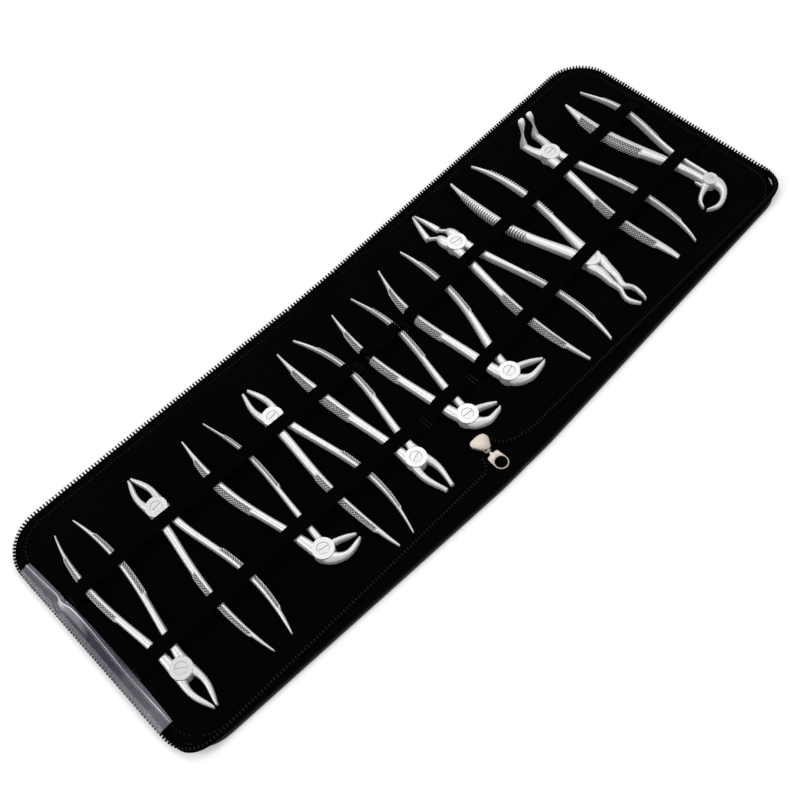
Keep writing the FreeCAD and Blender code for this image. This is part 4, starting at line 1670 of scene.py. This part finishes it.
@dataclass
class Forceps:
    """One pair of extraction forceps: two halves, a slotted screw and two knurled grips."""
    number: int
    facing: int                  # -1 with the beaks towards the near side, +1 turned round
    grip: Grip
    steel: bpy.types.Material
    cut: bpy.types.Material
    turned: bpy.types.Material
    slot_turn: float = 0.0
    pitch: float = 1.25 * MM     # of the cut along the handle
    columns: int = 10            # of the cut round the handle
    reach: tuple[float, float] = (-1.1, 1.75)    # of the grip round the handle, in radians
    depth: float = 1.0           # of the cut, in millimetres
    stand: float = 0.02          # of its valleys over the steel, in millimetres
    sunk: float = 0.12           # of its border under the steel, in millimetres
    head_height: float = 1.6 * MM
    slot_width: float = 0.95 * MM
    slot_depth: float = 0.75 * MM

    @property
    def tag(self) -> str:
        """The start of its nodes' names."""
        return f"forceps_{self.number:02d}"

    def build(self) -> list[bpy.types.Object]:
        """Dress the halves, cut the grips and turn the screw.

        Returns:
            The two halves and their grips.
        """
        made = []
        for half in ("front", "back"):
            kept = dress(f"{self.tag}_{half}_half", self.steel)
            made += [kept, self.knurl(kept, half)]
        self.screw()
        LOG.info("%s dressed", self.tag)
        return made

    def knurl(self, kept: bpy.types.Object, half: str) -> bpy.types.Object:
        """A sleeve of cut diamonds or ridges that hugs the outer side of one handle.

        Args:
            kept: the half that it lies on.
            half: front or back.

        Returns:
            The sleeve.
        """
        lo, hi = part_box(f"{self.tag}_{half}_half")
        pivot = sum(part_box(f"{self.tag}_pivot_screw"), Vector()) / 2
        tip = lo.y if self.facing > 0 else hi.y
        start, stop = self.grip.stretch
        rows = int(abs(tip - pivot.y) * (stop - start) / self.pitch)
        rings = [self.ring(kept, pivot, pivot.y + (tip - pivot.y)
                           * (start + (stop - start) * r / rows)) for r in range(rows + 1)]
        bm = bmesh.new()
        height = bm.verts.layers.float.new("cut")
        bmesh.ops.create_grid(bm, x_segments=self.columns, y_segments=rows, size=0.5)
        spots = {vert: (round((vert.co.y + 0.5) * rows), round((vert.co.x + 0.5) * self.columns))
                 for vert in bm.verts}
        for vert, (r, c) in spots.items():
            place, out = rings[r][c]
            fade = min(r, rows - r, 2) / 2 * min(c, self.columns - c, 1)
            peak = float(self.grip.peak(r, c))
            # stored cut height: 1 on the peaks and the border, 0 in the valleys, where the finish
            # paints shade
            vert[height] = peak * fade + (1 - fade)
            rise = (self.depth * peak + self.stand) * fade - self.sunk * (1 - fade)
            vert.co = place + out * rise * MM
        if self.grip is Grip.DIAMONDS:
            self.split(bm, spots)
        bmesh.ops.recalc_face_normals(bm, faces=bm.faces)
        bm.faces.ensure_lookup_table()
        probe = bm.faces[len(bm.faces) // 2]
        r, c = spots[probe.verts[0]]
        if probe.normal.dot(rings[r][c][1]) < 0:
            bmesh.ops.reverse_faces(bm, faces=bm.faces)
        sleeve = piece_from(bm, f"{self.tag}_{half}_grip", self.cut, smooth_angle=12.0)
        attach(sleeve, f"{self.tag}_{half}")
        return sleeve

    @staticmethod
    def split(bm: bmesh.types.BMesh, spots: dict[bmesh.types.BMVert, tuple[int, int]]) -> None:
        """Cut every square of the grip so that its diagonals meet at the peaks.

        Args:
            bm: the grip.
            spots: row and column of each of its corners.
        """
        halves: tuple[list, list] = ([], [])
        for face in bm.faces:
            corner = [min(spots[v][i] for v in face.verts) for i in (0, 1)]
            halves[sum(corner) % 2].append(face)
        for faces, method in zip(halves, ("ALTERNATE", "FIXED")):
            bmesh.ops.triangulate(bm, faces=faces, quad_method=method)

    def ring(self, kept: bpy.types.Object, pivot: Vector,
             y: float) -> list[tuple[Vector, Vector]]:
        """Points and outward directions round the outer side of a handle at one station.

        Args:
            kept: the half.
            pivot: middle of its screw.
            y: the station.

        Returns:
            Place and outward direction of each column, from below to above.
        """
        far, near, fine = 0.2, 0.03, 36      # how far away the rays start; steps round
        sides = []
        for way in (-1, 1):
            hit, where, _, _ = kept.ray_cast(Vector((pivot.x + way * far, y, pivot.z)),
                                             Vector((-way, 0, 0)))
            sides.append(where.x if hit else pivot.x)
        centre = Vector((sum(sides) / 2, y, pivot.z))
        outward = 1 if centre.x > pivot.x else -1
        start, stop = self.reach
        places, outs = [], []
        for i in range(fine + 1):
            turn = start + (stop - start) * i / fine
            out = Vector((outward * math.cos(turn), 0, math.sin(turn)))
            hit, where, _, _ = kept.ray_cast(centre + out * near, -out)
            places.append(where if hit else centre + out * 3 * MM)
            outs.append(out)
        line = Line(places)
        shares = [c / self.columns for c in range(self.columns + 1)]
        return [(line.at(line.length * share)[0], outs[round(share * fine)])
                for share in shares]

    def screw(self) -> None:
        """A slotted screw with a softened rim, in the place of its CAD solid."""
        node = f"{self.tag}_pivot_screw"
        lo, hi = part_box(node)
        low, high, head = lo.z, hi.z, (hi.x - lo.x) / 2
        neck, under = head * 0.5, hi.z - self.head_height
        profile = [(0, low), (neck, low), (neck, under), (head, under),
                   (head, high - 0.55 * MM), (head - 0.12 * MM, high - 0.25 * MM),
                   (head - 0.5 * MM, high - 0.04 * MM), (head * 0.6, high), (0, high)]
        body = bmesh.new()
        lathe(body, profile, 64)
        tool = bmesh.new()
        bmesh.ops.create_cube(tool, size=1.0)
        bmesh.ops.scale(tool, verts=tool.verts,
                        vec=(head * 1.72, self.slot_width, 2 * self.slot_depth))
        upright = [e for e in tool.edges
                   if abs(e.verts[0].co.z - e.verts[1].co.z) > self.slot_depth]
        soften(tool, upright, 0.4 * MM, 4)
        bmesh.ops.translate(tool, verts=tool.verts, vec=(0, 0, high))
        bmesh.ops.rotate(tool, verts=tool.verts, cent=(0, 0, 0),
                         matrix=Matrix.Rotation(self.slot_turn, 3, "Z"))
        slotted = carved(body, tool)
        centre = (lo + hi) / 2
        bmesh.ops.translate(slotted, verts=slotted.verts, vec=(centre.x, centre.y, 0))
        made = piece_from(slotted, f"{self.tag}_slotted_screw", self.turned,
                          smooth_angle=25.0)
        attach(made, f"{self.tag}_pivot")
        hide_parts(node)


# ------------------------------------------------------------------ studio

@dataclass(frozen=True)
class Lamp:
    """A square soft light aimed at the middle of the case."""
    name: str
    place: tuple[float, float, float]
    size: float
    power: float

    def build(self) -> bpy.types.Object:
        """Make the light.

        Returns:
            The light's object.
        """
        data = bpy.data.lights.new(self.name, "AREA")
        data.shape = "SQUARE"
        data.size = self.size
        data.energy = self.power
        made = add_object(self.name, data)
        made.location = self.place
        made.rotation_euler = (-Vector(self.place)).to_track_quat("-Z", "Y").to_euler()
        return made


@dataclass
class Studio:
    """Pale floor, soft light and the camera."""
    eye: tuple[float, float, float] = (-0.2786, -0.3553, 0.7291)
    right: tuple[float, float, float] = (0.70547, -0.70238, -0.09477)
    up: tuple[float, float, float] = (0.64716, 0.58387, 0.49019)
    back: tuple[float, float, float] = (-0.28896, -0.40714, 0.86645)
    lens: float = 49.8
    world_light: float = 0.5
    lamps: tuple[Lamp, ...] = (Lamp("over", (0.45, 0.65, 1.35), 0.9, 5.6),
                               Lamp("side", (-1.1, 0.5, 1.0), 0.7, 6.4),
                               Lamp("front", (0.5, -1.1, 1.0), 0.7, 5.2))

    def build(self) -> None:
        """Make everything that isn't the object."""
        staged = [self.floor(), self.camera(), *(lamp.build() for lamp in self.lamps)]
        world = bpy.data.worlds.new("studio")
        bpy.context.scene.world = world
        world.use_nodes = True
        background = world.node_tree.nodes["Background"]
        background.inputs["Color"].default_value = (1, 1, 1, 1)
        background.inputs["Strength"].default_value = self.world_light
        bpy.context.scene.view_settings.view_transform = "Standard"

    def floor(self) -> bpy.types.Object:
        """A large pale floor just under the case.

        Returns:
            The floor.
        """
        bm = bmesh.new()
        bmesh.ops.create_grid(bm, x_segments=2, y_segments=2, size=6.0)
        bmesh.ops.translate(bm, verts=bm.verts, vec=(0, 0, -0.4 * MM))
        b = Bench("pale_floor")
        cloud = b.noise(3.0, detail=2.0)
        material = b.finish(Roughness=0.9,
                            Base_Color=b.mix(cloud, (0.93, 0.93, 0.93), (0.96, 0.96, 0.96)),
                            Emission_Color=(1.0, 1.0, 1.0, 1.0), Emission_Strength=0.16)
        return piece_from(bm, "floor", material)

    def camera(self) -> bpy.types.Object:
        """The camera, looking down across the case from its near left.

        Returns:
            The camera's object.
        """
        data = bpy.data.cameras.new("camera")
        data.lens = self.lens
        made = add_object("camera", data)
        turn = Matrix((self.right, self.up, self.back)).transposed()
        made.matrix_world = Matrix.Translation(self.eye) @ turn.to_4x4()
        bpy.context.scene.camera = made
        return made


# ------------------------------------------------------------------ all of it

FACING = (-1, 1, -1, 1, -1, -1, -1, 1, -1, 1, -1)             # of each forceps, from the left
SLOT_TURNS = (-40, 8, -12, 5, 20, -8, 15, -5, 10, 0, -20)     # of their screws, in degrees
RIDGED = 9                                                    # the one with cross ridges


def main() -> None:
    """Build every piece."""
    logging.basicConfig(level=logging.INFO, format="%(name)s: %(message)s")
    plan = Plan.read()
    velvet, leather = Velvet().material(), Leatherette().material()
    elastic = WovenBlack("black_elastic", "X", 1.1 * MM).material()
    tape = WovenBlack("zip_tape_weave", "X", 0.7 * MM).material()
    thread = WovenBlack("black_thread", "X", 0.4 * MM, (0.05, 0.05, 0.052),
                        (0.015, 0.015, 0.016)).material()
    steel, turned = SatinSteel().material(), TurnedSteel().material()
    cut = KnurledSteel().material()
    for side in Side:
        Panel(plan, side).build(leather, velvet)
    halves = []
    for number, (facing, turn) in enumerate(zip(FACING, SLOT_TURNS), start=1):
        grip = Grip.RIDGES if number == RIDGED else Grip.DIAMONDS
        halves += Forceps(number, facing, grip, steel, cut, turned, math.radians(turn)).build()
    bodies = {"left": "panel_left", "spine": "spine", "right": "panel_right"}
    for row in ("far", "near"):
        for name, body in bodies.items():
            Strap(f"strap_{row}_{name}", body, elastic, thread).build(halves, plan.lining_top)
    Seam(plan, thread).build()
    Zip(plan, tape, MouldedBlack().material(), PaleNickel().material()).build()
    FilmStrip(ClearFilm().material()).build()
    Studio().build()


if __name__ == "__main__":
    main()
